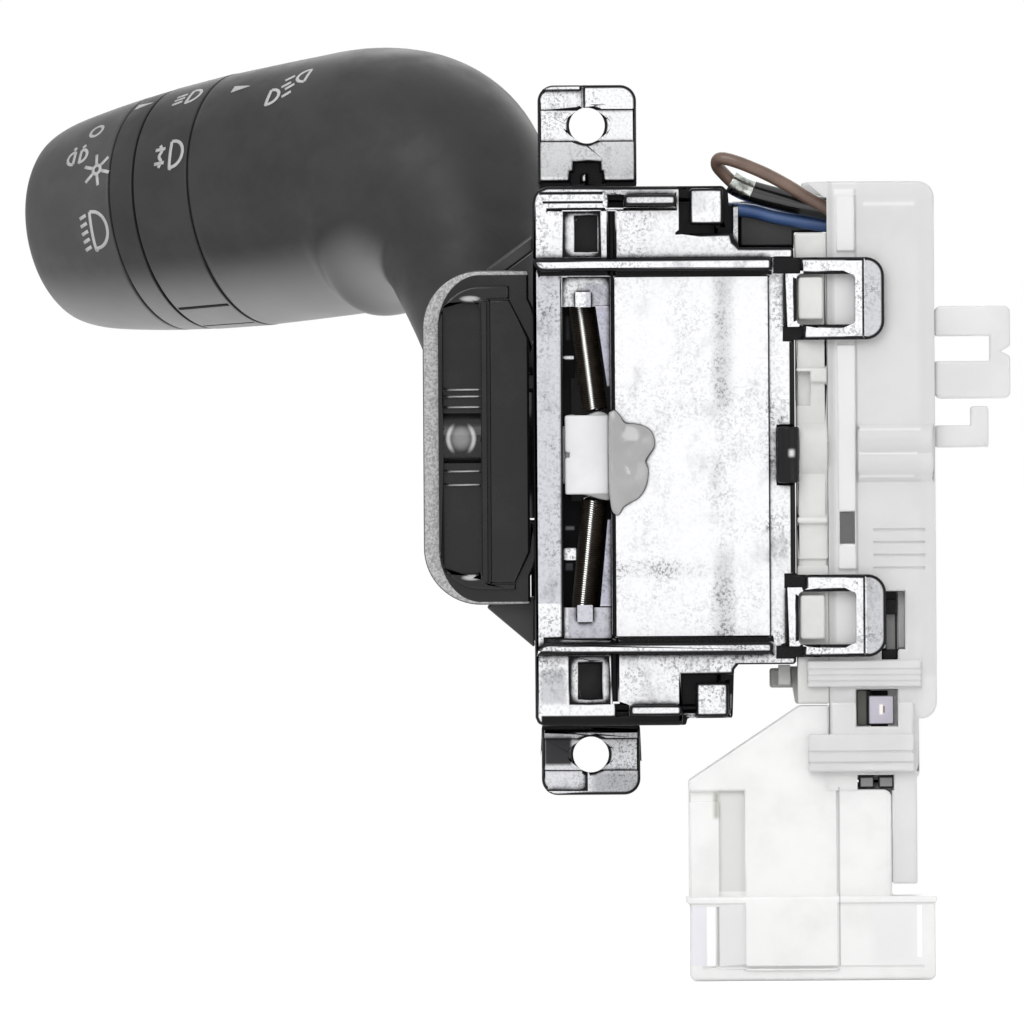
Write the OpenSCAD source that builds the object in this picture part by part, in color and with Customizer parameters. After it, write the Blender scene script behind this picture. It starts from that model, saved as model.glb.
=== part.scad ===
// Combination stalk switch for a steering column: light and turn-signal lever, bright frame,
// rear case, turn mechanism with two centring springs, contact unit and plug socket.
// Axes: +X points from the stalk towards the contact unit, +Z up, +Y from the bright face back
// to the stalk. The origin lies midway between the mounting holes, on the tabs' front face.

/* [Mounting] */
// Distance between the two mounting holes
hole_pitch = 74; // [73:0.5:75]
// Diameter of each mounting hole
hole_d = 4.2; // [3.8:0.1:4.6]
// Width of a mounting tab
tab_w = 11.6; // [11:0.2:12]
// Thickness of a mounting tab
tab_t = 3; // [2.4:0.2:3.6]

/* [Frame] */
// Wall thickness of the frame and the rear case
wall = 1.8; // [1.6:0.1:1.8]
// Depth of the frame behind its front face
frame_depth = 13; // [13:0.1:13.2]

/* [Lever] */
// Largest outer radius of the stalk at the rotary rings
stalk_r = 15.15; // [15:0.05:15.3]
// Wall of the hollow stalk
stalk_wall = 2.2; // [1.8:0.1:2.6]
// Length of the end knob
knob_len = 15.2; // [14.5:0.1:16]

/* [Springs] */
// Outer diameter of a centring spring
spring_d = 3; // [2.6:0.1:3.2]
// Diameter of the spring wire
spring_wire = 0.42; // [0.36:0.02:0.46]
// Coils in one centring spring
spring_turns = 16; // [12:1:18]

/* [Contact unit] */
// Wall of the translucent cover
cover_wall = 1.7; // [1.4:0.1:1.8]
// Depth of the cover behind its front face
cover_depth = 11.4; // [11:0.1:11.6]

/* [Socket] */
// Lowest edge of the plug socket
socket_bottom = -63.6; // [-64.5:0.1:-63]
// Wall of the plug socket
socket_wall = 1.6; // [1.4:0.1:1.8]
// Contact blades in each of the two rows
blades_per_row = 8; // [6:1:8]

/* [Hidden] */
$fn = 48;

// Levels along Y, front to back
y_face = -4;                      // front of the main plate
y_rib = y_face - 1.4;             // front of the bosses and the two long ribs
y_inner = y_face + wall;          // back of the main plate
y_join = y_face + frame_depth;    // where frame and rear case meet
y_back = 14;                      // back of the rear case
plate_front = -1.9;               // rim of the lever holder's guard plate
plate_floor = -0.3;
plate_back = 1;
cover_front = -3;
cover_back = cover_front + cover_depth;

// Edges in the XZ plane
frame_left = -6.5;
frame_right = 24.2;
frame_top = 29.8;
frame_bottom = -33.6;
cover_left = 28.1;
cover_right = 40.7;
cover_top = 30.2;
cover_bottom = -33;

// Mechanism axes
mech_z = -1.75;                   // height of the turn mechanism's centre line
pivot_x = 10;                     // turn pivot
pivot_r = 2;
dimmer_x = -8.5;                  // dimmer pivot
dimmer_y = 5;
dimmer_r = 1.5;
running = 0.05;                   // radial clearance of a running fit
seat = 0.02;                      // radial clearance of a fixed pin in its bore

// The stalk: a straight outer part, a bend and a neck down to the dimmer pivot
ring_start = [-39, 48, 29];
stalk_dir = [-0.83, 0.541, -0.128] / norm([-0.83, 0.541, -0.128]);
bend_corner = ring_start - stalk_dir * 26.7;
neck_end = [dimmer_x, 10, mech_z];
neck_dir = (neck_end - bend_corner) / norm(neck_end - bend_corner);
bend_radius = 18;
bend_angle = acos(-stalk_dir * neck_dir);
bend_tangent = bend_radius * tan(bend_angle / 2);
bend_start = bend_corner + stalk_dir * bend_tangent;
bend_end = bend_corner + neck_dir * bend_tangent;
bend_across = neck_dir - stalk_dir * (stalk_dir * neck_dir);
bend_in = bend_across / norm(bend_across);

// A box between two corners
module block(x0, x1, y0, y1, z0, z1) {
    translate([x0, y0, z0]) cube([x1 - x0, y1 - y0, z1 - z0]);
}

// An outline in the XZ plane, extruded from y0 to y1
module plate(y0, y1) {
    translate([0, y1, 0]) rotate([90, 0, 0]) linear_extrude(y1 - y0) children();
}

// A rectangle with round corners
module round_rect(x0, x1, z0, z1, r) {
    translate([x0 + r, z0]) square([x1 - x0 - 2 * r, z1 - z0]);
    translate([x0, z0 + r]) square([x1 - x0, z1 - z0 - 2 * r]);
    for (x = [x0 + r, x1 - r], z = [z0 + r, z1 - r]) translate([x, z]) circle(r, $fn = 32);
}

// Round bars along Y, Z and X
module bar_y(x, z, r, y0, y1) {
    translate([x, y1, z]) rotate([90, 0, 0]) cylinder(h = y1 - y0, r = r);
}
module bar_z(x, y, r, z0, z1) {
    translate([x, y, z0]) cylinder(h = z1 - z0, r = r);
}
module bar_x(y, z, r, x0, x1) {
    translate([x0, y, z]) rotate([0, 90, 0]) cylinder(h = x1 - x0, r = r);
}

// Puts children on the stalk's axis, their +Z along it and their zero where the rings start
module on_stalk() {
    translate(ring_start)
        rotate([0, acos(stalk_dir[2]), atan2(stalk_dir[1], stalk_dir[0])])
            children();
}

// A solid swept along points, with one radius for each point and a tangent for each point
module sweep(pts, tangents, radii, sides, up) {
    n = len(pts);
    ring_points = [
        for (i = [0:n - 1])
            let (t = tangents[i], c = cross(up, t), a = c / norm(c), b = cross(t, a))
                for (k = [0:sides - 1])
                    pts[i] + radii[i] * (cos(360 * k / sides) * a + sin(360 * k / sides) * b)
    ];
    faces = concat(
        [[for (k = [0:sides - 1]) k]],
        [for (i = [0:n - 2], k = [0:sides - 1]) let (m = (k + 1) % sides)
            [i * sides + m, i * sides + k, (i + 1) * sides + k]],
        [for (i = [0:n - 2], k = [0:sides - 1]) let (m = (k + 1) % sides)
            [i * sides + m, (i + 1) * sides + k, (i + 1) * sides + m]],
        [[for (k = [sides - 1:-1:0]) (n - 1) * sides + k]]
    );
    polyhedron(ring_points, faces, convexity = 6);
}

// Points of a list with one entry kept inside its ends
function at(list, i) = list[max(0, min(len(list) - 1, i))];
function unit(v) = v / norm(v);
function path_tangents(pts) = [for (i = [0:len(pts) - 1]) unit(at(pts, i + 1) - at(pts, i - 1))];
function curve4(a, b, c, d, t) =
    0.5 * (2 * b + (c - a) * t + (2 * a - 5 * b + 4 * c - d) * t * t
        + (3 * b - a - 3 * c + d) * t * t * t);
function smooth(list, steps) = [
    for (i = [0:len(list) - 2], k = [0:steps - 1])
        curve4(at(list, i - 1), list[i], list[i + 1], at(list, i + 2), k / steps),
    list[len(list) - 1]
];

// A round wire along a list of points
module wire(list, r, steps = 5, sides = 12, up = [0, 1, 0.02]) {
    pts = smooth(list, steps);
    sweep(pts, path_tangents(pts), [for (p = pts) r], sides, up);
}

// Outline of the frame and the rear case, seen from the front
module case_outline() {
    polygon([
        [frame_left, 27.9], [frame_left + 0.15, 28.7], [frame_left + 0.6, 29.35],
        [frame_left + 1.7, frame_top],
        [15.9, frame_top], [16.5, 29.2], [16.8, 24.4], [17.1, 23.2], [17.8, 22.5],
        [frame_right, 22.5], [frame_right, -26.5], [17.4, -26.5], [16.9, -27.1],
        [16.7, -32.8], [11.4, -32.8], [11.2, frame_bottom],
        [frame_left + 1, frame_bottom], [frame_left + 0.3, -33.3], [frame_left, -32.6]
    ]);
}

// Screw places of the rear case
screw_spots = [[20.6, 18.4], [20.6, -22.4], [-3.4, 27], [-3.4, -30.6]];

// One mounting tab: up is 1 at the top of the frame and -1 at its bottom
module mounting_tab(up) {
    z = up * hole_pitch / 2;
    inner = up > 0 ? frame_top - 1.4 : frame_bottom + 1.4;
    difference() {
        plate(0, tab_t)
            round_rect(-tab_w / 2, tab_w / 2, min(inner, z + up * 4.75), max(inner, z + up * 4.75), 1.9);
        // shallow channel across the hole
        block(-8, 8, -1, 0.35, z - 1.85, z + 1.85);
        // relief beside the channel
        block(-8, -0.6, -1, 0.6, z + (up > 0 ? 1.85 : -4.2), z + (up > 0 ? 4.2 : -1.85));
        // gap between the tab's front and the frame
        block(-8, 8, -1, 1.2, up > 0 ? 29.5 : -34.05, up > 0 ? 30.3 : -33.4);
        // blind slot between the upper tab and the frame, with a bar left standing in it
        if (up > 0) difference() {
            union() {
                block(-1.5, 1.45, -1, tab_t - 0.5, 31.3, 32.6);
                block(-1.95, 1.75, -1, tab_t - 0.5, 30.1, 31.45);
            }
            block(-0.85, 0.15, 0.6, tab_t, 29.9, 31.4);
        }
        // groove from the upper tab's edge to its hole
        if (up > 0) block(-0.7, -0.35, -1, 0.5, z, z + 6);
        bar_y(0, z, hole_d / 2, -1, tab_t + 1);
    }
}

// Strap loop that holds the contact unit: two arms and a round end, round an open window
module strap_loop(z0, z1, x_end, win_z0, win_z1, win_x) {
    difference() {
        plate(y_face - 0.6, -3.1) {
            round_rect(23, x_end, z0, z1, 2.2);
            translate([23, z0]) square([4, z1 - z0]);
        }
        plate(y_face - 2, 0) round_rect(24.5, win_x, win_z0, win_z1, 0.5);
        // face line across the round end
        block(win_x + 0.8, win_x + 1.05, y_face - 1, y_face - 0.4, z0 - 1, z1 + 1);
    }
}

module frame() {
    color("silver") difference() {
        union() {
            frame_shell();
            strap_loop(11.6, 21.3, 34.8, 13.4, 19.3, 31.4);
            strap_loop(-25.7, -16, 34.8, -24.2, -18, 31.3);
            // bar beside the upper corner pocket
            block(16.95, 17.75, -2.6, 1, 22.3, 27.6);
            block(16.2, 17.7, 0.2, y_join - 0.1, 22.2, 27.5);
            // bosses of the turn pivot and of the case screws
            bar_y(pivot_x, mech_z, 4, y_inner - 0.4, 0.4);
            for (p = screw_spots) bar_y(p[0], p[1], 2.4, y_inner - 0.4, y_join);
        }
        bar_y(pivot_x, mech_z, pivot_r + seat, y_inner, 1);
        for (p = screw_spots) bar_y(p[0], p[1], 1.1 + seat, 1, y_join + 1);
        // seat of the stop pin and way through for the wires
        bar_z(23.4, y_face - 0.2, 1.3 + seat, -5.3, 1.5);
        block(14, 18, 2.1, 4.4, 26, 28.1);
        // notches where the strap loops join the frame
        for (n = [[21.8, 24.9, 19.5, 21.35], [22.9, 25.2, 11.5, 13.15],
                [22.9, 25.3, -17.5, -15.9], [21.9, 25, -25.8, -24.4]])
            block(n[0], n[1], y_rib - 1, -3.7, n[2], n[3]);
    }
}

// Frame before its bosses: plate, walls, ribs, windows and pockets
module frame_shell() {
    difference() {
        union() {
            plate(y_face, y_join) case_outline();
            // raised faces and long ribs
            block(3, 21.2, y_face - 0.3, y_face + 1, -23.2, 19.2);
            plate(y_rib, y_face + 1) polygon([[-6.45, 21.3], [-6.45, 20.9], [-6.2, 20.3], [-5.7, 19.9],
                [-5.1, 19.8], [21.6, 19.8], [21.6, 21.3]]);
            plate(y_rib, y_face + 1) polygon([[-6.3, -25.2], [-6.2, -24.6], [-5.7, -24.1], [-5, -23.9],
                [21.4, -23.9], [21.4, -25.2]]);
            block(4.3, 10.4, y_rib, y_face + 1, 27.5, 28.8);
            block(4.6, 10.7, y_rib, y_face + 1, -32.5, -31.2);
            mounting_tab(1);
            mounting_tab(-1);
        }
        // inside, open to the back
        block(-4.7, 14.9, y_inner, y_join + 1, -31.8, 28);
        block(-4.7, 22.4, y_inner, y_join + 1, -24.7, 20.7);
        // open left side, where the lever swings
        block(-8, -4, y_inner, y_join + 1, -24, 24);
        // slot in front of the springs
        block(-3.1, 2.6, y_face - 1, y_inner + 1, -23.4, 19.2);
        // seam beside the slot and grooves beside the ribs
        block(2.62, 2.98, y_face - 1, y_face + 1.2, -30.6, 26.8);
        block(-5.8, 21.6, y_face - 1, y_face + 0.5, 19.3, 19.75);
        block(-5.4, 21.4, y_face - 1, y_face + 0.5, -23.85, -23.3);
        block(2.5, 4.2, y_face - 1, y_inner + 1.5, 27.3, 28.65);
        block(3, 4.5, y_face - 1, y_inner + 1.5, -32.5, -31.2);
        block(-4.8, 10.5, y_face - 1, y_face + 0.4, 26.9, 27.2);
        // two windows with stepped edges
        block(-2.8, 1.4, y_face - 1, y_face + 0.8, 21.5, 26.8);
        block(-1.5, 1.1, y_face - 1, y_inner + 1, 22.2, 26.3);
        block(-2.4, 2.3, y_face - 1, y_face + 0.8, -31, -25.4);
        block(-1.4, 1.2, y_face - 1, y_inner + 1, -30.4, -26.3);
        // corner pockets, each with a block left standing in it
        difference() {
            block(10.7, 17.2, y_face - 1, 0, 24.2, 31);
            block(11.95, 15.95, y_face - 0.4, 1, 25.2, 29.5);
        }
        difference() {
            block(10.8, 17.2, y_face - 1, 0, -34, -27.7);
            block(12.35, 16.2, y_face - 0.4, 1, -32.6, -28.6);
        }
        // slot for the carriage arm
        block(21, 26, 5.9, y_join + 1, mech_z - 5.2, mech_z + 5.2);
    }
}

module rear_case() {
    color("dimgray") difference() {
        union() {
            // deep part behind the mechanism
            intersection() {
                plate(y_join, y_back) case_outline();
                block(6, 30, 0, 30, -40, 40);
            }
            // flat part above and below the lever's way through
            intersection() {
                plate(y_join, y_join + 1.4) case_outline();
                union() {
                    block(-10, 6.5, 0, 30, 22.2, 40);
                    block(-10, 6.5, 0, 30, -40, -16);
                    block(-2.4, 6.5, 0, 30, -17, 23);
                }
            }
            // mouth lips in front of the lever's neck
            plate(2, y_join + 1.4) polygon([[-12, 20.2], [-6.56, 24.2], [-6.56, 22.1], [-10.8, 19]]);
            plate(2, y_join + 1.4) polygon([[-12.2, -19.6], [-6.56, -24.4], [-6.56, -18.4], [-11, -18.4]]);
            // bridges from the lips to the flat parts, behind the frame
            block(-7, -6, y_join + 0.05, y_join + 1.4, 22.4, 23.6);
            block(-7, -6, y_join + 0.05, y_join + 1.4, -23.6, -18.6);
            // tongue under the wires
            block(17.85, 24.3, 4.6, y_join + 0.5, 22.6, 28);
            block(24.2, 27.9, 4.6, y_join + 0.5, 24.3, 28);
            block(16.9, 24.3, y_join, y_join + 3, 22.4, 28);
        }
        block(7.8, 14.9, y_join - 1, y_back - 1.8, -31.2, 28);
        block(7.8, 22.4, y_join - 1, y_back - 1.8, -24.7, 20.7);
        for (p = screw_spots) bar_y(p[0], p[1], 1.1 + running, 0, 20);
    }
    color("dimgray") {
        // boss of the turn pivot
        difference() {
            bar_y(pivot_x, mech_z, 4, 7.8, y_back - 1.5);
            bar_y(pivot_x, mech_z, pivot_r + seat, 7, y_back - 1.7);
        }
        // screw columns inside the deep part
        for (p = [screw_spots[0], screw_spots[1]]) difference() {
            bar_y(p[0], p[1], 2.4, y_join, y_back - 1.5);
            bar_y(p[0], p[1], 1.1 + running, 0, 20);
        }
    }
}

module case_screws() {
    color("gray") for (i = [0:3]) {
        p = screw_spots[i];
        seat_y = i < 2 ? y_back : y_join + 1.4;
        difference() {
            union() {
                bar_y(p[0], p[1], 1.1, 2.5, seat_y + 0.5);
                bar_y(p[0], p[1], 2.1, seat_y, seat_y + 1.5);
            }
            translate([p[0], seat_y + 2, p[1]]) rotate([90, 0, 0]) cylinder(h = 1.5, r = 1.05, $fn = 6);
        }
    }
}

module pivot_pin() {
    color("gray") bar_y(pivot_x, mech_z, pivot_r, y_inner, y_back - 1.8);
}

module stop_pin() {
    color("black") bar_z(23.4, y_face - 0.2, 1.3, -5.2, 1.4);
}

module detent_plate() {
    color("silver") difference() {
        block(20.2, 22.38, 1.4, 5.4, mech_z - 6, mech_z + 6);
        bar_y(pivot_x, mech_z, 11.2, 0, 7);
    }
}

module spring_anchors() {
    color("dimgray") {
        difference() {
            block(-3.05, 2.5, y_face + 0.7, y_inner, 15.7, 19.15);
            block(-1.2, 0, y_face, y_inner + 1, 15, 16.9);
        }
        block(-2.2, 4, y_inner, y_inner + 2, 17.2, 20.4);
        difference() {
            block(-3.05, 2.55, y_face + 0.7, y_inner, -23.3, -19.7);
            block(-1.2, 0, y_face, y_inner + 1, -21, -19);
        }
        block(-2.2, 4, y_inner, y_inner + 2, -24.5, -21.3);
    }
}

// A helical tension spring from a to b, drawn as a swept wire with straight hook ends
module coil(a, b, r_out, r_wire, turns, hook, steps = 12, sides = 6) {
    axis = unit(b - a);
    len_coil = norm(b - a) - 2 * hook;
    u = unit(cross(axis, [0, 1, 0]));
    v = cross(axis, u);
    r = r_out - r_wire;
    n = turns * steps;
    body = [for (i = [0:n]) a + axis * (hook + len_coil * i / n)
        + r * (cos(360 * i / steps) * u + sin(360 * i / steps) * v)];
    pts = concat(
        [a + axis * (r_wire + 0.02), a + axis * hook * 0.5 + u * r * 0.25],
        [a + axis * hook * 0.8 + u * r * 0.8],
        body,
        [b - axis * hook * 0.8 + u * r * 0.8],
        [b - axis * hook * 0.5 + u * r * 0.25, b - axis * (r_wire + 0.02)]
    );
    sweep(pts, path_tangents(pts), [for (p = pts) r_wire], sides, unit(axis + [0.011, 0.013, 0.007]));
}

module spring_upper() {
    color("dimgray")
        coil([-0.95, -0.6, 17], [0.75, -0.6, 2.95], spring_d / 2, spring_wire / 2, spring_turns, 0.7);
}

module spring_lower() {
    color("dimgray")
        coil([0.65, -0.6, -6.45], [-0.85, -0.6, -21.1], spring_d / 2, spring_wire / 2, spring_turns, 0.7);
}

// White block that the springs hold in the middle of the slot
module return_block() {
    color("white") difference() {
        union() {
            block(-2.85, 2.3, y_face + 0.5, 1.3, mech_z - 4.65, mech_z + 4.65);
            block(-3.6, 3.1, y_inner + 0.15, 1.3, mech_z - 3.4, mech_z + 3.4);
        }
        block(-1.5, 1.5, -1.2, 2, mech_z - 0.9, mech_z + 0.9);
        block(-3.4, -2.3, y_face, y_inner - 0.2, mech_z - 0.3, mech_z + 0.3);
    }
}

// Outline of the guard plate: square on the right, round on the left
module guard_outline(inset) {
    r = 6.7 - inset;
    z0 = -19.3 + inset;
    z1 = 20 - inset;
    translate([-12.8, z0]) square([5.8, z1 - z0]);
    translate([-19.5 + inset, z0 + r]) square([7, z1 - z0 - 2 * r]);
    for (z = [z0 + r, z1 - r]) translate([-12.8, z]) circle(r, $fn = 64);
}

module lever_holder() {
    color("black") difference() {
        union() {
            plate(-1.2, plate_back) guard_outline(0);
            plate(plate_front, 0) difference() {
                guard_outline(1.8);
                polygon([[-9.3, 16.6], [-7, 12.1], [-6, 12.1], [-6, 30], [-9.3, 30]]);
                polygon([[-8.7, -16.6], [-7, -13.2], [-6, -13.2], [-6, -30], [-8.7, -30]]);
            }
        }
        // recess with round corners, and the groove beside its rib
        plate(plate_front - 1, plate_floor) round_rect(-17.1, -12.7, -15.6, 16.1, 0.8);
        block(-11.85, -11.6, plate_front - 1, plate_front + 0.5, -16.7, 16.5);
        block(-11.85, -7, plate_front - 1, plate_front + 0.5, 16.5, 16.75);
        block(-11.85, -7, plate_front - 1, plate_front + 0.5, -16.95, -16.7);
    }
    color("black") {
        // rib, barrel and thin cross ribs in the recess
        block(-12.65, -11.95, plate_front - 0.25, 0, -16.6, 16.4);
        intersection() {
            bar_x(1.2, 0.3, 3.3, -17.1, -12.7);
            block(-18, -12, -3, plate_back - 0.05, -4, 4.5);
        }
        for (z = [6, 5.2, 3.95, -3.6, -5.2]) block(-17.1, -12.7, plate_floor - 0.6, 0, z - 0.14, z + 0.14);
        // ears that hold the dimmer pin
        for (z = [[mech_z + 7.6, mech_z + 9.6], [mech_z - 9.6, mech_z - 7.6]]) difference() {
            union() {
                block(-12.4, -3, plate_back - 0.1, 8.1, z[0], z[1]);
            }
            bar_z(dimmer_x, dimmer_y, dimmer_r + seat, z[0] - 1, z[1] + 1);
        }
        // web between the ears, and the arm to the pivot
        block(-4.4, -2.6, 1.8, 8.1, mech_z - 9.6, mech_z + 9.6);
        difference() {
            union() {
                block(-3, 12, 1.7, 6, mech_z - 3.2, mech_z + 3.2);
                bar_y(pivot_x, mech_z, 4.4, 0.6, 7.6);
                block(12, 19.4, 0.9, 6, mech_z - 3.1, mech_z + 3.1);
                block(12, 30.2, 6, 7.5, mech_z - 1.4, mech_z + 1.4);
            }
            bar_y(pivot_x, mech_z, pivot_r + running, 0, 8);
            bar_x(3.4, mech_z, 1.6 + running, 14.2, 20);
        }
        // pin that moves the return block, and pin that moves the contact carriage
        bar_y(0, mech_z, 0.8, -0.7, 2);
        bar_y(30.2, mech_z, 1, 2.6, 7.5);
    }
}

module detent_plunger() {
    color("silver") {
        bar_x(3.4, mech_z, 1.6, 16.6, 20);
        translate([20, 3.4, mech_z]) rotate([0, 90, 0]) cylinder(h = 1.1, r1 = 1.6, r2 = 0.6);
    }
}

module detent_spring() {
    color("dimgray") coil([14.25, 3.4, mech_z], [16.55, 3.4, mech_z], 1.2, 0.16, 5, 0.2, 10, 5);
}

module dimmer_pin() {
    color("gray") bar_z(dimmer_x, dimmer_y, dimmer_r, mech_z - 9.6, mech_z + 9.6);
}

// Stalk: ring centres, tangents and radii from the rotary rings down to the neck
bend_steps = 9;
shell_s = [0.15, 5, 9.5];
neck_t = [4, 9, 15, 21, 26];
function bend_point(i) = let (a = bend_angle * i / bend_steps)
    bend_start + bend_radius * (sin(a) * -stalk_dir + (1 - cos(a)) * bend_in);
function bend_dir(i) = let (a = bend_angle * i / bend_steps) cos(a) * -stalk_dir + sin(a) * bend_in;
shell_pts = concat(
    [for (s = shell_s) ring_start - stalk_dir * s],
    [for (i = [0:bend_steps]) bend_point(i)],
    [for (t = neck_t) bend_end + neck_dir * t],
    [neck_end + neck_dir * 1.5]
);
shell_dirs = concat(
    [for (s = shell_s) -stalk_dir],
    [for (i = [0:bend_steps]) bend_dir(i)],
    [for (t = neck_t) neck_dir],
    [neck_dir]
);
shell_radii = concat(
    [stalk_r, 15.3, 15.45],
    [15.6, 15.75, 15.9, 16, 15.8, 15.2, 14.2, 12.9, 11.5, 10.1],
    [9.1, 8.2, 7.4, 6.5, 5.5, 4.6]
);
hollow_rings = 16;

module stalk_shell() {
    color("dimgray") difference() {
        sweep(shell_pts, shell_dirs, shell_radii, 36, [0, 0, 1]);
        sweep(
            concat([ring_start + stalk_dir], [for (i = [1:hollow_rings - 1]) shell_pts[i]]),
            concat([-stalk_dir], [for (i = [1:hollow_rings - 1]) shell_dirs[i]]),
            [for (i = [0:hollow_rings - 1]) shell_radii[i] - stalk_wall], 36, [0, 0, 1]
        );
        block(-20, 5, -5, 10.4, -20, 20);
    }
}

module stalk_hinge() {
    color("black") difference() {
        union() {
            bar_z(dimmer_x, dimmer_y, 3.6, mech_z - 7.4, mech_z + 7.4);
            block(dimmer_x - 3.6, dimmer_x + 3.4, dimmer_y, 10.4, mech_z - 6.8, mech_z + 6);
        }
        bar_z(dimmer_x, dimmer_y, dimmer_r + running, mech_z - 8, mech_z + 8);
    }
}

// Rotary parts, each drawn as radius and distance along the stalk
module rotary_core() {
    color("dimgray") on_stalk() rotate_extrude()
        polygon([[3.05, -9.8], [6.5, -9.8], [6.5, -4], [12.85, -4], [12.85, -0.6], [6.5, -0.6],
            [6.5, 14], [3.05, 14]]);
}

module fog_ring() {
    color("dimgray") on_stalk() rotate_extrude($fn = 96)
        polygon([[6.55, 2], [12.9, 2], [12.9, 0.15], [stalk_r - 0.03, 0.15], [14.5, 8.15], [12.6, 8.15],
            [12.6, 3.6], [8.2, 3.6], [8.2, 6.5], [6.55, 6.5]]);
}

module index_band() {
    color("dimgray") on_stalk() rotate_extrude($fn = 96)
        polygon([[6.52, 9.2], [12.3, 9.2], [12.3, 8.45], [14.44, 8.45], [14.07, 11.85], [12.1, 11.85],
            [12.1, 10.4], [6.52, 10.4]]);
}

module contact_disc() {
    color("darkgoldenrod") on_stalk() rotate_extrude()
        polygon([[6.55, 10.5], [11.8, 10.5], [11.8, 11.3], [6.55, 11.3]]);
}

module light_knob() {
    e = 12.1 + knob_len;
    color("dimgray") on_stalk() rotate_extrude($fn = 96)
        polygon([[0, e], [0, e - 1.7], [3.02, e - 1.7], [3.02, 14.6], [5, 14.6], [5, e - 2.1], [8.6, e - 2.1],
            [10.4, 23.6], [11.6, 16.7], [12, 12.1], [14.03, 12.1], [13.45, 16.7], [12.55, 22], [11.6, 25],
            [10.6, 26.3], [9.4, e - 0.35], [8, e]]);
}

module light_rotor() {
    color("dimgray") on_stalk() rotate_extrude()
        polygon([[0, -11.8], [8, -11.8], [8, -10], [3, -10], [3, 10.4 + knob_len], [0, 10.4 + knob_len]]);
}

module switch_base() {
    color("white") difference() {
        union() {
            block(24.35, 28.05, cover_front, 9.4, -31.2, 24.2);
            intersection() {
                bar_x(0.9, -1.2, 4.9, 24.35, 28.05);
                block(24, 29, -5, 3, -8, 6);
            }
            // catches in the strap loops, with a step on each
            block(24.7, 27.6, y_face - 0.3, 0, 14, 19);
            block(24.7, 27.6, y_face - 0.3, 0, -23.6, -18.4);
            block(24.4, 28, y_face + 0.3, 0, 6.6, 8.3);
            block(24.4, 28, y_face + 0.3, 0, -10, -9.2);
            // small tab and wedge below the frame
            block(21.1, 24.6, 4.2, 8.4, -29.3, -27);
            plate(3.4, 9.2) polygon([[23.4, -26.8], [24.6, -26.8], [24.6, -31.2], [24.1, -31.2]]);
        }
        // seat of the stop pin
        bar_z(23.4, y_face - 0.2, 1.3 + running, -6, 2);
        // steps in the front face
        block(24, 26, -4.2, cover_front + 0.5, 3.9, 7.9);
        block(24, 28.1, -4.2, cover_front + 0.4, -14.9, -14.2);
        // way through for the carriage arm
        block(24, 28.4, 5.5, 9.5, mech_z - 6, mech_z + 6);
        // light side towards the contact chamber
        block(26.4, 28.2, -1.2, 7.6, 9, 22.5);
        block(26.4, 28.2, -1.2, 7.6, -29.5, -9);
    }
}

module cover() {
    color("whitesmoke") difference() {
        union() {
            plate(cover_front, cover_back + 1.6) {
                round_rect(cover_left + 1, cover_right, cover_bottom, cover_top, 1.9);
                translate([cover_left, cover_bottom]) square([4, cover_top - cover_bottom]);
                round_rect(cover_left, 38.6, -40.2, cover_bottom + 4, 1);
                translate([35.35, -52.4]) square([2.95, 13]);
            }
            // extension over the base's top
            block(25.2, 30, 4.2, cover_back + 1.6, 28.4, cover_top);
            plate(cover_front + 0.1, -2)
                polygon([[25.6, cover_top], [28.4, cover_top], [28.4, 28.2], [27.7, 28.4]]);
            // bulges, flanges and rib band on the front
            intersection() {
                union() {
                    bar_x(-1.4, -0.4, 2.6, 31.6, 40.5);
                    bar_x(-1.4, -3.1, 2.6, 31.6, 40.5);
                }
                block(30, 41, -5, -2, -8, 5);
            }
            block(29.2, 31.4, cover_front - 0.5, -2, 22, 28.6);
            block(29.2, 31.4, cover_front - 0.5, -2, -15.4, 11);
            block(25.5, 38.9, cover_front - 0.8, cover_front - 0.05, -29.2, -26.1);
            block(28.2, 38.9, cover_front - 0.4, -2, -29.2, -26.1);
            // hood lug
            block(25.5, 38, cover_front - 1.5, cover_front - 0.05, -39.2, -34.8);
            block(28.2, 38, cover_front - 1.2, -2, -39.2, -31);
        }
        block(27, cover_right - cover_wall, cover_front + cover_wall, cover_back, cover_bottom + 1.8,
            cover_top - cover_wall);
        block(29.8, 37, cover_front + cover_wall, cover_back, -38.4, -30);
        // windows in the front face
        block(31.2, 36.1, cover_front - 3, 0, -33.9, -29.5);
        block(29.4, 31.2, cover_front - 3, 0, -12.4, -8.6);
        block(31.2, 35.6, cover_front - 3, 0, -41.4, -39.6);
        block(34.7, 37, cover_front - 3, 0, -24.8, -18);
        block(34.25, 36.15, cover_front - 3, 0, -26.05, -24.7);
        // ridge grooves in the rib band and the hood
        for (z = [-28.6, -27.9, -27.2])
            block(25, 40, cover_front - 1.2, cover_front - 0.65, z - 0.12, z + 0.12);
        for (z = [-38.2, -36.9]) block(25, 39, cover_front - 2, cover_front - 1.3, z - 0.15, z + 0.15);
        for (z = [-15.3, -13.8, -12.3, -10.8])
            block(33.4, 39.4, cover_front - 0.5, cover_front + 0.25, z - 0.15, z + 0.15);
    }
}

module column_clip() {
    color("whitesmoke") {
        plate(-2.2, 6.4) difference() {
            round_rect(cover_right + 0.02, 49.6, 4.6, 15.5, 0.8);
            translate([cover_right - 1, 9]) square([7.5, 2.95]);
            polygon([[50.2, 11], [48.5, 10.15], [50.2, 9.3]]);
        }
        plate(-1.4, 5.4) {
            translate([cover_right + 0.02, -1.15]) square([6.2, 2.6]);
            round_rect(44.9, 47, -1.15, 3.7, 0.4);
        }
    }
}

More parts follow.
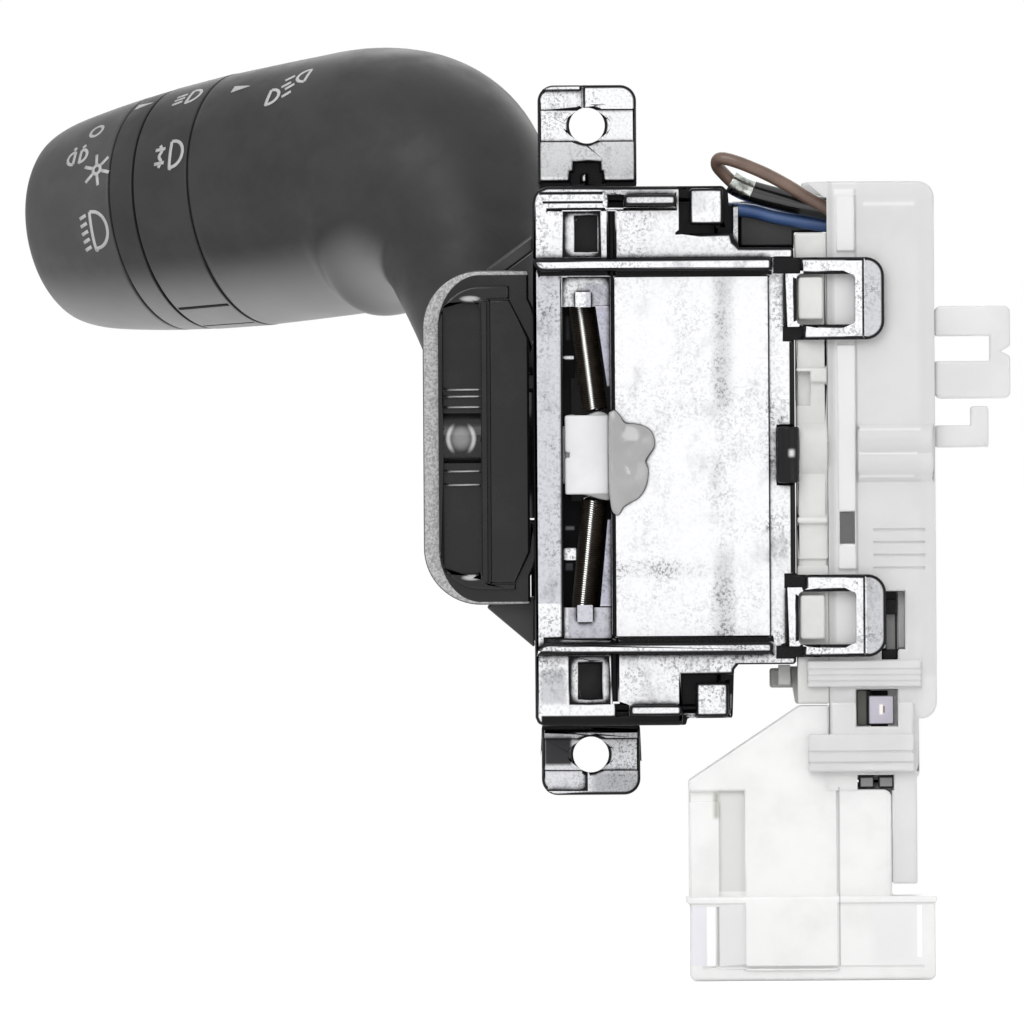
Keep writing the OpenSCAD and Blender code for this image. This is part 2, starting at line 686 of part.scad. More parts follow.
module contact_board() {
    color("darkgoldenrod") difference() {
        block(33.2, 34.2, -1.1, 8.2, -27, 24);
        for (z = [-20, 20]) bar_x(3.5, z, 1.2, 32, 36);
    }
}

module terminal_carrier() {
    color("white") difference() {
        block(34.25, 38.8, 2.1, 8.2, -29.6, -15.4);
        for (z = [-27, -23, -19]) block(35, 38, 6, 9, z - 1, z + 1);
    }
}

module terminal_tabs() {
    color("black") {
        block(34.3, 37, -0.3, 2.05, -26.1, -17.8);
        block(34.6, 36.1, -1.2, 0, -20.7, -18.95);
        block(34.3, 36.1, -1.2, 0, -26.1, -24.9);
        block(36.2, 37, -0.9, 0, -24.7, -18);
        block(32.75, 35.65, -2.2, 1, -33.65, -30.3);
        block(31.3, 33, -1, 1, -33.8, -29.6);
        for (x = [31.45, 33.75]) block(x, x + 1.8, -2.4, -0.15, -41.15, -39.6);
        for (z = [-25, -22, -19]) block(37.1, 38.4, -0.6, 2.05, z - 0.9, z + 0.9);
        for (y = [3.2, 5.4]) block(33, 35, y, y + 0.8, -38, -29.7);
    }
}

module plug_socket() {
    x0 = 11.5;
    x1 = 40.4;
    color("whitesmoke") difference() {
        union() {
            // neck with its chamfered front, and the corner behind the chamfer
            plate(-3, 9.6) polygon([[24.5, -31.4], [11.45, -40.1], [11.45, -54], [35.3, -54], [35.3, -41.9],
                [33.9, -40.5], [28, -40.5], [28, -31.4]]);
            block(30, 35.3, 0.3, 9.6, -54, -40.5);
            plate(-5, 11) round_rect(x0, x1, socket_bottom, -53.8, 0.6);
            block(x0 - 0.4, x1 + 0.15, -5.4, 11.4, -54.6, -53.8);
            // raised panel on the shroud
            block(18, 28.9, -5.4, -4, -62.5, -53.8);
        }
        // lower level on the left, with a band left standing in it
        difference() {
            block(11, 17.95, -4, -2.2, -53.8, -41.4);
            block(11, 15, -2.8, -2, -54, -42.6);
        }
        // notch for the two contacts
        block(31.3, 35.5, -4, 0, -41.3, -40);
        // mouth of the socket, open at the bottom
        block(x0 + socket_wall, x1 - socket_wall, -5 + socket_wall, 11 - socket_wall,
            socket_bottom - 1, -55.6);
        // cable chamber towards the contact unit
        block(25.6, 27.6, 0, 6.4, -50, -31);
        // groove lines on the neck and the shroud
        block(28.8, 29.05, -3.4, -2.7, -53.5, -40.6);
        block(13, 39, -5.5, -4.8, -62.3, -62);
        block(14.6, 14.9, -5.3, -4.7, -62, -55);
    }
}

module socket_blades() {
    pitch = 24 / (blades_per_row - 1);
    color("gold") for (i = [0:blades_per_row - 1], y = [0.4, 5.2])
        block(14.2 + pitch * i - 0.4, 14.2 + pitch * i + 0.4, y - 0.3, y + 0.3, -59, -55.6);
}

module wire_brown() {
    color("saddlebrown") wire([[17.05, 1.85, 30.25], [16.2, 1.5, 31.1], [15.3, 0.5, 32.2], [15.6, -0.6, 33],
        [17.3, -1, 32.7], [20.3, -1, 31.5], [23.2, -1, 30], [25.8, -0.8, 28.4], [28.1, -0.45, 27.1],
        [30.2, -0.4, 25.8]], 0.76);
}

module wire_sleeve() {
    color("black") wire([[17.5, 1.9, 29.95], [19.5, 1.9, 29.1], [23.8, 1.9, 27.95], [27.9, 1.9, 27.1],
        [30, 1.9, 26.85]], 1.38, 4, 16);
}

module wire_blue() {
    color("steelblue") wire([[14.5, 3.25, 27], [17, 3.25, 27.05], [19.5, 3.25, 26.8], [21.8, 3.25, 26.2],
        [25, 3.25, 25.6], [27.9, 3.25, 25.15], [30, 3.2, 25]], 0.84);
}

// Carriage that the holder's arm moves along the contact board
module contact_carriage() {
    color("white") difference() {
        block(28.6, 32, 1.2, 5.6, mech_z - 7, mech_z + 7);
        block(28, 31.4, 2.3, 6, mech_z - 1.1, mech_z + 1.1);
        for (z = [-4.4, 4.4]) bar_x(3.4, mech_z + z, 0.9, 30, 33);
    }
}

module moving_contact() {
    color("goldenrod") for (z = [-4.4, 4.4]) {
        block(32.02, 32.3, 1.6, 5.2, mech_z + z - 2.2, mech_z + z + 2.2);
        bar_x(3.4, mech_z + z, 0.8, 32.1, 33.15);
    }
}

frame();
rear_case();
case_screws();
pivot_pin();
stop_pin();
detent_plate();
spring_anchors();
spring_upper();
spring_lower();
switch_base();
contact_board();
cover();
column_clip();
terminal_carrier();
terminal_tabs();
plug_socket();
socket_blades();
wire_brown();
wire_blue();
wire_sleeve();
return_block();
contact_carriage();
moving_contact();
lever_holder();
detent_plunger();
detent_spring();
dimmer_pin();
stalk_shell();
stalk_hinge();
rotary_core();
index_band();
contact_disc();
fog_ring();
light_knob();
light_rotor();
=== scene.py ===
"""Combination stalk switch: finishes, finer pieces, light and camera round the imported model.

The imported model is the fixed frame: +X from the stalk towards the contact unit, +Z up, +Y from the
bright face back to the stalk, and the origin midway between the two fixing holes. Lengths are in
metres, and a name that ends in _mm is in millimetres.
"""

import logging
import math
from dataclasses import dataclass
from enum import Enum
from typing import Callable, ClassVar, Optional, Sequence, Union

import bmesh
import bpy
import numpy as np
from mathutils import Matrix, Vector
from mathutils.bvhtree import BVHTree


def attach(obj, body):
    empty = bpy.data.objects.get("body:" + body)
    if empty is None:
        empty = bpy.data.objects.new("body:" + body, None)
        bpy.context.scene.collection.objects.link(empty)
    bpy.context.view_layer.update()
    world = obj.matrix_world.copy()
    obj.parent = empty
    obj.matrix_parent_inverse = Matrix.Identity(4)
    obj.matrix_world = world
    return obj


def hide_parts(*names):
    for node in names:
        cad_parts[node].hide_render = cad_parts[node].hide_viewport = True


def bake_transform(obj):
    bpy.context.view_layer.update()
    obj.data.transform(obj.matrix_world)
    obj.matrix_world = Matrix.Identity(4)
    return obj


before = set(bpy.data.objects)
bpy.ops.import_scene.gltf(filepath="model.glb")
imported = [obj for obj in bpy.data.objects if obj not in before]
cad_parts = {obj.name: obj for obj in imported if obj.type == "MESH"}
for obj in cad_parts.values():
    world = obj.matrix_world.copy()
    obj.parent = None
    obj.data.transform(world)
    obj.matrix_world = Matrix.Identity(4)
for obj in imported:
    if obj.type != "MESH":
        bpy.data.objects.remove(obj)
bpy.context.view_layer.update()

LOG = logging.getLogger("stalk_switch")
MM = 0.001
Number = Union[int, float]
Color = tuple[float, float, float]


class Body(Enum):
    """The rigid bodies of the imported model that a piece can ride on."""

    HOUSING = "housing"
    TURN = "turn_body"
    STALK = "stalk"
    FOG = "fog_body"
    LIGHT = "light_body"
    RETURN = "return_body"
    CARRIAGE = "carriage_body"


class Value:
    """A shader socket that takes part in Python arithmetic by adding Math nodes."""

    def __init__(self, graph: "Graph", socket: bpy.types.NodeSocket) -> None:
        """Wraps one output socket of a graph."""
        self.graph = graph
        self.socket = socket

    def _math(self, operation: str, *others: Union["Value", Number]) -> "Value":
        """Adds one Math node with this value as its first input.

        Args:
            operation: the Math node's operation.
            others: the remaining inputs, as values or plain numbers.

        Returns:
            The node's result.
        """
        inputs = {0: self}
        inputs.update({i + 1: other for i, other in enumerate(others)})
        return self.graph.add("ShaderNodeMath", {"operation": operation}, inputs)

    def __add__(self, other: Union["Value", Number]) -> "Value":
        """This value plus the other."""
        return self._math("ADD", other)

    def __radd__(self, other: Number) -> "Value":
        """A number plus this value."""
        return self._math("ADD", other)

    def __sub__(self, other: Union["Value", Number]) -> "Value":
        """This value less the other."""
        return self._math("SUBTRACT", other)

    def __rsub__(self, other: Number) -> "Value":
        """A number less this value, worked out as minus this value plus the number."""
        return self._math("MULTIPLY_ADD", -1.0, other)

    def __mul__(self, other: Union["Value", Number]) -> "Value":
        """This value times the other."""
        return self._math("MULTIPLY", other)

    def __rmul__(self, other: Number) -> "Value":
        """A number times this value."""
        return self._math("MULTIPLY", other)

    def __truediv__(self, other: Union["Value", Number]) -> "Value":
        """This value over the other."""
        return self._math("DIVIDE", other)

    def __abs__(self) -> "Value":
        """The size of this value without its sign."""
        return self._math("ABSOLUTE")

    def least(self, other: Union["Value", Number]) -> "Value":
        """The smaller of this value and the other."""
        return self._math("MINIMUM", other)

    def most(self, other: Union["Value", Number]) -> "Value":
        """The larger of this value and the other."""
        return self._math("MAXIMUM", other)

    def ramp(self, low: Number, high: Number, start: Number = 0.0, end: Number = 1.0) -> "Value":
        """Turns this value smoothly from start at low to end at high.

        Args:
            low: the value at which the result is start.
            high: the value at which the result is end.
            start: the result below low.
            end: the result above high.

        Returns:
            The smoothed and clamped result.
        """
        settings = {"interpolation_type": "SMOOTHSTEP"}
        names = {"Value": self, "From Min": low, "From Max": high, "To Min": start, "To Max": end}
        return self.graph.add("ShaderNodeMapRange", settings, names)

    def fall(self, low: Number, high: Number) -> "Value":
        """Turns this value smoothly from 1 at low to 0 at high."""
        return self.ramp(low, high, 1.0, 0.0)


class Graph:
    """The node tree of one material, built round a Principled shader."""

    def __init__(self, name: str) -> None:
        """Makes an empty material with its output and its Principled shader.

        Args:
            name: the material's name.
        """
        self.material = bpy.data.materials.new(name)
        self.material.use_nodes = True
        self.tree = self.material.node_tree
        self.tree.nodes.clear()
        output = self.tree.nodes.new("ShaderNodeOutputMaterial")
        self.shader = self.tree.nodes.new("ShaderNodeBsdfPrincipled")
        self.tree.links.new(self.shader.outputs[0], output.inputs["Surface"])

    def node(self, kind: str, settings: Optional[dict] = None,
             inputs: Optional[dict] = None) -> bpy.types.Node:
        """Adds one node, sets it up and feeds its sockets.

        Args:
            kind: the node's type name.
            settings: attributes of the node, set before its sockets.
            inputs: socket name or index to a value, a wrapped socket or a plain socket.

        Returns:
            The node.
        """
        made = self.tree.nodes.new(kind)
        for key, setting in (settings or {}).items():
            setattr(made, key, setting)
        for key, given in (inputs or {}).items():
            self.feed(made.inputs[key], given)
        return made

    def add(self, kind: str, settings: Optional[dict] = None, inputs: Optional[dict] = None,
            output: Union[int, str] = 0) -> Value:
        """Adds a node as node() does and wraps one of its outputs.

        Args:
            kind: the node's type name.
            settings: attributes of the node.
            inputs: what feeds its sockets.
            output: the name or index of the wrapped output.

        Returns:
            The wrapped output socket.
        """
        return Value(self, self.node(kind, settings, inputs).outputs[output])

    def feed(self, socket: bpy.types.NodeSocket, given: object) -> None:
        """Links a socket, or sets its default value.

        Args:
            socket: the input socket.
            given: a wrapped socket, a plain socket, a number or a tuple.
        """
        if isinstance(given, Value):
            self.tree.links.new(given.socket, socket)
        elif isinstance(given, bpy.types.NodeSocket):
            self.tree.links.new(given, socket)
        elif isinstance(given, tuple) and socket.type == "RGBA":
            socket.default_value = (*given[:3], 1.0)
        else:
            socket.default_value = given

    def place(self) -> bpy.types.NodeSocket:
        """The point's place on the object, in metres."""
        return self.node("ShaderNodeTexCoord").outputs["Object"]

    def facing(self) -> bpy.types.NodeSocket:
        """The surface's own direction, turned with the object."""
        return self.node("ShaderNodeTexCoord").outputs["Normal"]

    def parts(self, vector: bpy.types.NodeSocket) -> tuple[Value, Value, Value]:
        """Splits a vector into its three parts."""
        made = self.node("ShaderNodeSeparateXYZ", inputs={0: vector})
        return Value(self, made.outputs[0]), Value(self, made.outputs[1]), Value(self, made.outputs[2])

    def noise(self, size_mm: float, detail: float = 3.0, rough: float = 0.5,
              stretch: Sequence[float] = (1.0, 1.0, 1.0)) -> Value:
        """Smooth noise on the object.

        Args:
            size_mm: the size of its coarsest features.
            detail: its number of finer layers.
            rough: how strong the finer layers are.
            stretch: how much faster it changes along each axis.

        Returns:
            The noise, from about 0.2 to 0.8.
        """
        stretched = self.node("ShaderNodeMapping", {"vector_type": "POINT"},
                              {"Vector": self.place(), "Scale": tuple(stretch)})
        names = {"Vector": stretched.outputs[0], "Scale": 1.0 / (size_mm * MM), "Detail": detail,
                 "Roughness": rough}
        return self.add("ShaderNodeTexNoise", None, names)

    def mix(self, share: Union[Value, Number], low: object, high: object) -> Value:
        """Mixes two colours.

        Args:
            share: how much of the second colour shows.
            low: the first colour, as a tuple or a wrapped socket.
            high: the second colour.

        Returns:
            The mixed colour.
        """
        made = self.node("ShaderNodeMix", {"data_type": "RGBA"})
        self.feed(made.inputs[0], share)
        self.feed(made.inputs[6], low)
        self.feed(made.inputs[7], high)
        return Value(self, made.outputs[2])

    def bump(self, height: Value, depth_mm: float, strength: float = 1.0) -> None:
        """Feeds a height in parts of depth_mm to the shader's normal.

        Args:
            height: the height, from 0 to 1.
            depth_mm: the height's full depth.
            strength: the strength of the effect.
        """
        names = {"Height": height, "Distance": depth_mm * MM, "Strength": strength}
        made = self.node("ShaderNodeBump", None, names)
        self.tree.links.new(made.outputs[0], self.shader.inputs["Normal"])

    def set(self, **sockets: object) -> None:
        """Feeds the shader's sockets; an underscore in a name stands for a space."""
        for name, given in sockets.items():
            self.feed(self.shader.inputs[name.replace("_", " ")], given)


def srgb(red: int, green: int, blue: int) -> Color:
    """Turns a display colour of 0 to 255 into the linear colour that shaders use.

    Each part c becomes c / 12.92 up to 0.04045, and ((c + 0.055) / 1.055) to the power 2.4 above.
    """
    parts = [part / 255.0 for part in (red, green, blue)]
    return tuple(c / 12.92 if c <= 0.04045 else ((c + 0.055) / 1.055) ** 2.4 for c in parts)


@dataclass(frozen=True)
class Patch:
    """A rectangular field of the XZ plane with its own colour.

    Attributes:
        x_mm: where it begins and ends along X.
        z_mm: where it begins and ends along Z.
        color: its colour.
        soft_mm: how far its edges fade.
    """

    x_mm: tuple[float, float]
    z_mm: tuple[float, float]
    color: Color
    soft_mm: float = 0.06

    def lay(self, graph: Graph, spot: tuple[Value, Value, Value], under: Union[Value, Color]) -> Value:
        """Lays the patch over a colour.

        Its share is the product of two smooth steps: one falls where the distance from its middle
        along X passes half its width, the other where the distance along Z passes half its height.

        Args:
            graph: the material's graph.
            spot: the point's X, Y and Z.
            under: the colour under it.

        Returns:
            The mixed colour.
        """
        share = None
        for value, (low, high) in ((spot[0], self.x_mm), (spot[2], self.z_mm)):
            half = (high - low) / 2
            away = abs(value - (low + half) * MM)
            step = away.fall((half - self.soft_mm) * MM, (half + self.soft_mm) * MM)
            share = step if share is None else share * step
        return graph.mix(share, under, self.color)


@dataclass(frozen=True)
class Moulded:
    """A moulded plastic: a colour with slow mottling, fine grain, a coat of gloss and, where asked, a painted
    lighter underside.

    Attributes:
        name: the material's name.
        color: the colour of most of the surface.
        shade: the colour of its darker patches.
        gloss: the roughness, from 0 shiny to 1 dull.
        grain_mm: the size of the moulded grain.
        grain_depth_mm: the depth of the grain.
        coat: the strength of a clear coat.
        subsurface: how much light goes in and comes out again.
        specular: the strength of its reflections.
        under: the colour of a painted lighter underside where it faces downwards, standing for light from
            below, or None; it turns with the part.
        patches: fields of other colours, each laid over the ones before.
    """

    name: str
    color: Color
    shade: Color
    gloss: float = 0.45
    grain_mm: float = 0.35
    grain_depth_mm: float = 0.012
    coat: float = 0.0
    subsurface: float = 0.0
    specular: float = 0.5
    under: Optional[Color] = None
    patches: tuple[Patch, ...] = ()

    def build(self) -> bpy.types.Material:
        """Builds the material: colour and roughness follow one slow noise, bump follows a fine one.

        The painted lighter underside's share is how far the surface's own direction points down, smoothed.
        """
        graph = Graph(self.name)
        mottle = graph.noise(9.0, 4.0, 0.6).ramp(0.35, 0.68)
        color = graph.mix(mottle, self.color, self.shade)
        # painted light: the underside is lightened in the colour, standing for light from below
        if self.under is not None:
            _, _, upward = graph.parts(graph.facing())
            color = graph.mix((upward * -1.0).ramp(0.42, 1.0), color, self.under)
        if self.patches:
            spot = graph.parts(graph.place())
            for patch in self.patches:
                color = patch.lay(graph, spot, color)
        graph.set(Base_Color=color, Roughness=self.gloss + (mottle - 0.5) * 0.12)
        graph.set(Coat_Weight=self.coat, Coat_Roughness=0.12, Specular_IOR_Level=self.specular)
        if self.subsurface > 0.0:
            graph.set(Subsurface_Weight=self.subsurface, Subsurface_Scale=0.004,
                      Subsurface_Radius=(1.0, 1.0, 1.0))
        graph.bump(graph.noise(self.grain_mm, 2.0, 0.6), self.grain_depth_mm)
        return graph.material


@dataclass(frozen=True)
class BrightFace:
    """Bright speckled faces towards the front, and near-black sides, edges, corners and depths.

    Attributes:
        name: the material's name.
        bright: the colour of the painted reflection on the front faces.
        column: the greyer tone of the painted reflection on the strip beside the slot.
        dull: the colour of their specks and smudges.
        dark: the plastic's near-black on the sides and edges, also laid as painted shade in corners, notches
            and depths.
        painted_shade_y: the level along Y behind which front-facing floors get painted shade.
        tabs_z: the height beyond which the mounting tabs lie, whose floors keep the painted reflection.
        corner: how far the painted shade along an inner corner reaches, in metres.
        zones: fields of other colours under the specks.
        lines: fields over the specks.
    """

    name: str
    bright: Color
    column: Color
    dull: Color
    dark: Color
    painted_shade_y: float = -0.0022
    tabs_z: float = 0.0300
    corner: float = 0.0011
    zones: tuple[Patch, ...] = ()
    lines: tuple[Patch, ...] = ()

    def build(self) -> bpy.types.Material:
        """Builds the material.

        The painted reflection's share is how squarely the surface faces the front, times how far the point
        lies in front of painted_shade_y or beyond tabs_z, times how open its surroundings are within the
        corner's reach, less the notches by the joins; elsewhere the dark colour paints shade into depths,
        notches and inner corners. Fine specks come in drifts where a slow noise is high, thin out on the main
        plate and gather in one upright streak and one level row of it. Soft smudges follow a noise drawn out
        upwards, and pits are thresholded fine noise.
        """
        graph = Graph(self.name)
        _, across, _ = graph.parts(graph.facing())
        right, depth, height = graph.parts(graph.place())
        # painted reflection: bright where the surface squarely faces the front
        square = (across * -1.0).ramp(0.9, 0.99)
        tabs = (abs(height).ramp(self.tabs_z - 0.0001, self.tabs_z + 0.0001)
                * depth.fall(0.0008, 0.0009))
        # painted shade: front-facing floors behind painted_shade_y stay dark
        front = depth.fall(self.painted_shade_y, self.painted_shade_y + 0.0002)
        # painted shade in the notches by the joins at the right
        joins = right.ramp(0.0218, 0.0219) * depth.ramp(-0.0039, -0.0038)
        # painted shade along inner corners, from ambient occlusion
        corner_shade_ao = graph.add("ShaderNodeAmbientOcclusion", {"samples": 8}, {"Distance": self.corner}, "AO")
        ragged_shade_ao = corner_shade_ao + (graph.noise(0.9, 4.0, 0.7) - 0.5) * 0.16
        share = square * front.most(tabs) * (1.0 - joins) * ragged_shade_ao.ramp(0.66, 0.8)
        column = right.fall(-0.0032, -0.0031) * abs(height - 0.0005).fall(0.0196, 0.0198)
        face_plate = (right.ramp(0.003, 0.0034) * right.fall(0.0206, 0.0212)
                      * abs(height + 0.002).fall(0.0212, 0.0214))
        drifts = graph.noise(6.5, 4.0, 0.6, (1.0, 1.0, 0.8)).ramp(0.42, 0.64)
        streak = (abs(right - 0.0157).fall(0.0, 0.0019)
                  * abs(height + 0.004).ramp(0.006, 0.013, 0.15, 1.0))
        row = abs(height + 0.0153).fall(0.0, 0.0016) * right.fall(0.0125, 0.015)
        marks = streak.most(row) * (drifts * 0.7 + 0.3) * face_plate
        rough = 1.0 - face_plate * 0.6
        fine = graph.noise(0.32, 3.0, 0.75).ramp(0.49, 0.6)
        specks = fine * ((drifts * 0.75 + 0.25) * rough + marks).least(1.0)
        smudges = graph.noise(3.2, 5.0, 0.7, (1.0, 1.0, 0.6)).ramp(0.5, 0.74) * rough
        pits = graph.noise(0.6, 4.0, 0.8, (1.0, 1.0, 0.6)).ramp(0.645, 0.68) * drifts * rough
        specks_and_highlight = (specks * 0.8 + smudges * 0.6 + marks * 0.25).least(1.0)
        spot = (right, depth, height)
        clean = graph.mix(column, self.bright, self.column)
        for zone in self.zones:
            clean = zone.lay(graph, spot, clean)
        face = graph.mix(pits, graph.mix(specks_and_highlight, clean, self.dull), self.dark)
        for line in self.lines:
            face = line.lay(graph, spot, face)
        graph.set(Base_Color=graph.mix(share, self.dark, face),
                  Roughness=(share * 0.3 + 0.22) + specks_and_highlight * 0.1,
                  Metallic=0.0, Specular_IOR_Level=0.15)
        graph.bump(graph.noise(0.3, 3.0, 0.6), 0.02, 0.5)
        return graph.material


@dataclass(frozen=True)
class Clear:
    """A translucent natural plastic that passes blurred light.

    Attributes:
        name: the material's name.
        color: its body colour.
        clarity: how much light passes straight through, from 0 to 1.
        gloss: the roughness of the surface and of what is seen through it.
        patches: fields of other colours, each laid over the ones before.
    """

    name: str
    color: Color
    clarity: float
    gloss: float = 0.35
    patches: tuple[Patch, ...] = ()

    def build(self) -> bpy.types.Material:
        """Builds the material: a slow noise clouds the colour, flow streaks vary the roughness."""
        graph = Graph(self.name)
        spot = graph.parts(graph.place())
        cloud = graph.noise(7.0, 3.0, 0.5).ramp(0.3, 0.7)
        streaks = graph.noise(4.0, 2.0, 0.5)
        haze = tuple(part * 0.93 for part in self.color)
        color = graph.mix(cloud, self.color, haze)
        for patch in self.patches:
            color = patch.lay(graph, spot, color)
        graph.set(Base_Color=color, Roughness=self.gloss + (streaks - 0.5) * 0.05,
                  Transmission_Weight=self.clarity, IOR=1.32, Subsurface_Weight=0.25, Subsurface_Scale=0.003,
                  Subsurface_Radius=(1.0, 1.0, 1.0))
        graph.bump(graph.noise(2.5, 2.0, 0.4), 0.01, 0.3)
        return graph.material


@dataclass(frozen=True)
class Metal:
    """Bare metal with fine scratches and darker oiled patches.

    Attributes:
        name: the material's name.
        color: the metal's colour.
        tarnish: the colour of its darker patches.
        gloss: the roughness.
    """

    name: str
    color: Color
    tarnish: Color
    gloss: float = 0.3

    def build(self) -> bpy.types.Material:
        """Builds the material from a slow tarnish noise and a fine scratch noise."""
        graph = Graph(self.name)
        patches = graph.noise(2.2, 4.0, 0.6).ramp(0.42, 0.7)
        scratches = graph.noise(0.25, 2.0, 0.5)
        graph.set(Base_Color=graph.mix(patches, self.color, self.tarnish), Metallic=1.0,
                  Roughness=self.gloss + patches * 0.15 + (scratches - 0.5) * 0.2)
        graph.bump(scratches, 0.006)
        return graph.material


@dataclass(frozen=True)
class DarkWire:
    """Oiled spring wire, nearly black, with one painted highlight on each turn.

    Attributes:
        name: the material's name.
        color: the wire's colour.
        specks_and_highlight: the colour of the painted highlights.
        lean: how far the painted highlights lie left of the front, as a tangent.
        half: half the width of the row of painted highlights, as a tangent.
    """

    name: str
    color: Color
    specks_and_highlight: Color
    lean: float = 0.16
    half: float = 0.11

    def build(self) -> bpy.types.Material:
        """Builds the material.

        A painted highlight is where the surface faces the front, its own direction's X over Y is within
        half of lean, and its Z is small, so that the wire's flanks stay dark.
        """
        graph = Graph(self.name)
        x, y, z = graph.parts(graph.facing())
        # painted highlight: a bright, metallic spot on each turn, facing a little left of the front
        row = abs(x / y - self.lean).fall(self.half * 0.8, self.half * 1.3)
        spot = row * (y * -1.0).ramp(0.2, 0.4) * abs(z).fall(0.7, 0.9)
        tone = graph.noise(1.5, 2.0).ramp(0.4, 0.6)
        dark = graph.mix(tone, self.color, tuple(part * 0.5 for part in self.color))
        graph.set(Base_Color=graph.mix(spot, dark, self.specks_and_highlight), Roughness=0.5 - spot * 0.25,
                  Metallic=spot * 0.8, Specular_IOR_Level=0.25)
        return graph.material


@dataclass(frozen=True)
class GuardPlate:
    """Glossy black plastic with a painted reflection on its grained rim, painted highlights on its ribs and
    barrel, and painted glints in the recess's corners.

    Attributes:
        name: the material's name.
        black: the glossy plastic.
        rim: the colour of the painted reflection on the grained rim.
        shine: the colour of the painted highlights on the ribs' crests and on the barrel.
        ribs: the heights of the thin ribs.
    """

    name: str
    black: Color
    rim: Color
    shine: Color
    ribs: tuple[float, ...] = (0.006, 0.0052, 0.00395, -0.0036, -0.0052)

    def build(self) -> bpy.types.Material:
        """Builds the material.

        With u the distance left of the inner corner's middle over 4.93 mm and v the distance above it
        over 6.24 mm, the rim is where u squared plus v squared passes 1, and where it faces the front it
        takes a painted reflection. The painted highlight of the barrel is a narrow band where an ellipse
        equation about its middle is near 1, with a painted glow inside it, two more ellipses are painted
        glints in the recess's round corners, and the ribs' crests get painted highlight lines. The rest is
        smooth with a slow mottling in its roughness.
        """
        graph = Graph(self.name)
        _, across, _ = graph.parts(graph.facing())
        right, depth, height = graph.parts(graph.place())
        front = (across * -1.0).ramp(0.6, 0.9)
        u = (right + 0.01276).least(0.0) / 0.00493
        v = (abs(height - 0.00025) - 0.013).most(0.0) / 0.00624
        # painted reflection on the grained rim where it faces the front
        rim = front * (u * u + v * v).ramp(0.98, 1.02) * right.fall(-0.0068, -0.0066)
        inside = right.ramp(-0.0168, -0.0163) * right.fall(-0.0131, -0.0128)
        # painted highlight lines along the ribs' crests
        crest_highlight = None
        for rib in self.ribs:
            line = abs(height - rib).fall(0.00008, 0.00018)
            crest_highlight = line if crest_highlight is None else crest_highlight.most(line)
        crest_highlight = crest_highlight * inside * front
        # painted highlight on the barrel: a ring and a glow inside it
        long_way = (right + 0.01505) / 0.0015
        high_way = (height - 0.00025) / 0.0017
        reach = long_way * long_way + high_way * high_way
        barrel_highlight = reach.ramp(0.0, 1.0, 0.45, 0.0)
        ring = abs(reach - 1.0).fall(0.0, 0.6) * abs(long_way).ramp(0.4, 0.95)
        shine = ring.most(barrel_highlight) * depth.fall(-0.0006, -0.0004)
        # painted glints in the recess's round corners
        beside = (right + 0.0139) / 0.0014
        above = (abs(height - 0.0003) - 0.0164) / 0.00042
        corner_glint = (beside * beside + above * above).ramp(0.0, 1.0, 0.8, 0.0) * front
        grain = graph.noise(0.28, 3.0, 0.7)
        patches = graph.noise(6.0, 4.0, 0.6).ramp(0.4, 0.7)
        grey = graph.mix(grain.ramp(0.35, 0.65), tuple(part * 0.5 for part in self.rim), self.rim)
        body = graph.mix((crest_highlight * 0.85).most(shine * 0.8).most(corner_glint), self.black, self.shine)
        graph.set(Base_Color=graph.mix(rim, body, grey), Specular_IOR_Level=0.3,
                  Roughness=rim * 0.35 + (0.2 + patches * 0.14), Coat_Weight=0.12, Coat_Roughness=0.08)
        graph.bump(grain * (rim * 0.9 + 0.1), 0.03, 0.8)
        return graph.material


BLACK = srgb(6, 6, 7)
# tones of the painted reflection on the frame's front faces
FRAME_REFLECTION_TONES = (
    Patch((-5.6, 5.6), (31.0, 35.1), srgb(212, 213, 215), 0.1),
    Patch((-5.6, 5.6), (-41.8, -33.4), srgb(222, 223, 226), 0.1),
    Patch((0.2, 5.5), (-41.6, -38.9), srgb(176, 177, 180), 0.6),
    Patch((-0.3, 2.62), (15.6, 18.4), srgb(204, 204, 214), 0.15),
    Patch((-2.6, 2.62), (-23.4, -19.4), srgb(204, 204, 213), 0.15),
    Patch((14.9, 16.7), (3.5, 19.0), srgb(222, 223, 224), 0.9),
    Patch((13.4, 15.4), (2.6, 4.4), srgb(228, 229, 230), 0.7),
    Patch((14.8, 16.8), (-23.5, -13.0), srgb(222, 223, 224), 0.9),
    Patch((3.0, 14.0), (27.0, 31.0), srgb(226, 227, 229), 0.9),
    Patch((0.2, 2.62), (-19.4, -6.0), srgb(190, 190, 204), 0.1),
    Patch((0.2, 2.62), (3.0, 15.6), srgb(190, 190, 204), 0.1),
    Patch((-5.9, -3.0), (-31.0, -27.0), srgb(204, 205, 208), 0.3),
    Patch((32.5, 35.0), (11.4, 21.4), srgb(204, 205, 208), 0.1),
    Patch((32.5, 35.0), (-25.8, -15.9), srgb(200, 201, 204), 0.1),
)
# painted shade: dark lines and fields in the frame's grooves, steps and gaps
FRAME_PAINTED_SHADE_LINES = (
    Patch((-5.7, 1.8), (28.85, 29.2), BLACK),
    Patch((-5.3, 1.8), (27.8, 28.1), BLACK),
    Patch((-5.45, -2.3), (-38.2, -34.9), srgb(52, 52, 54), 0.25),
    Patch((-5.8, 11.3), (-33.4, -32.4), BLACK, 0.1),
    Patch((23.6, 24.3), (-15.8, 11.4), BLACK),
)
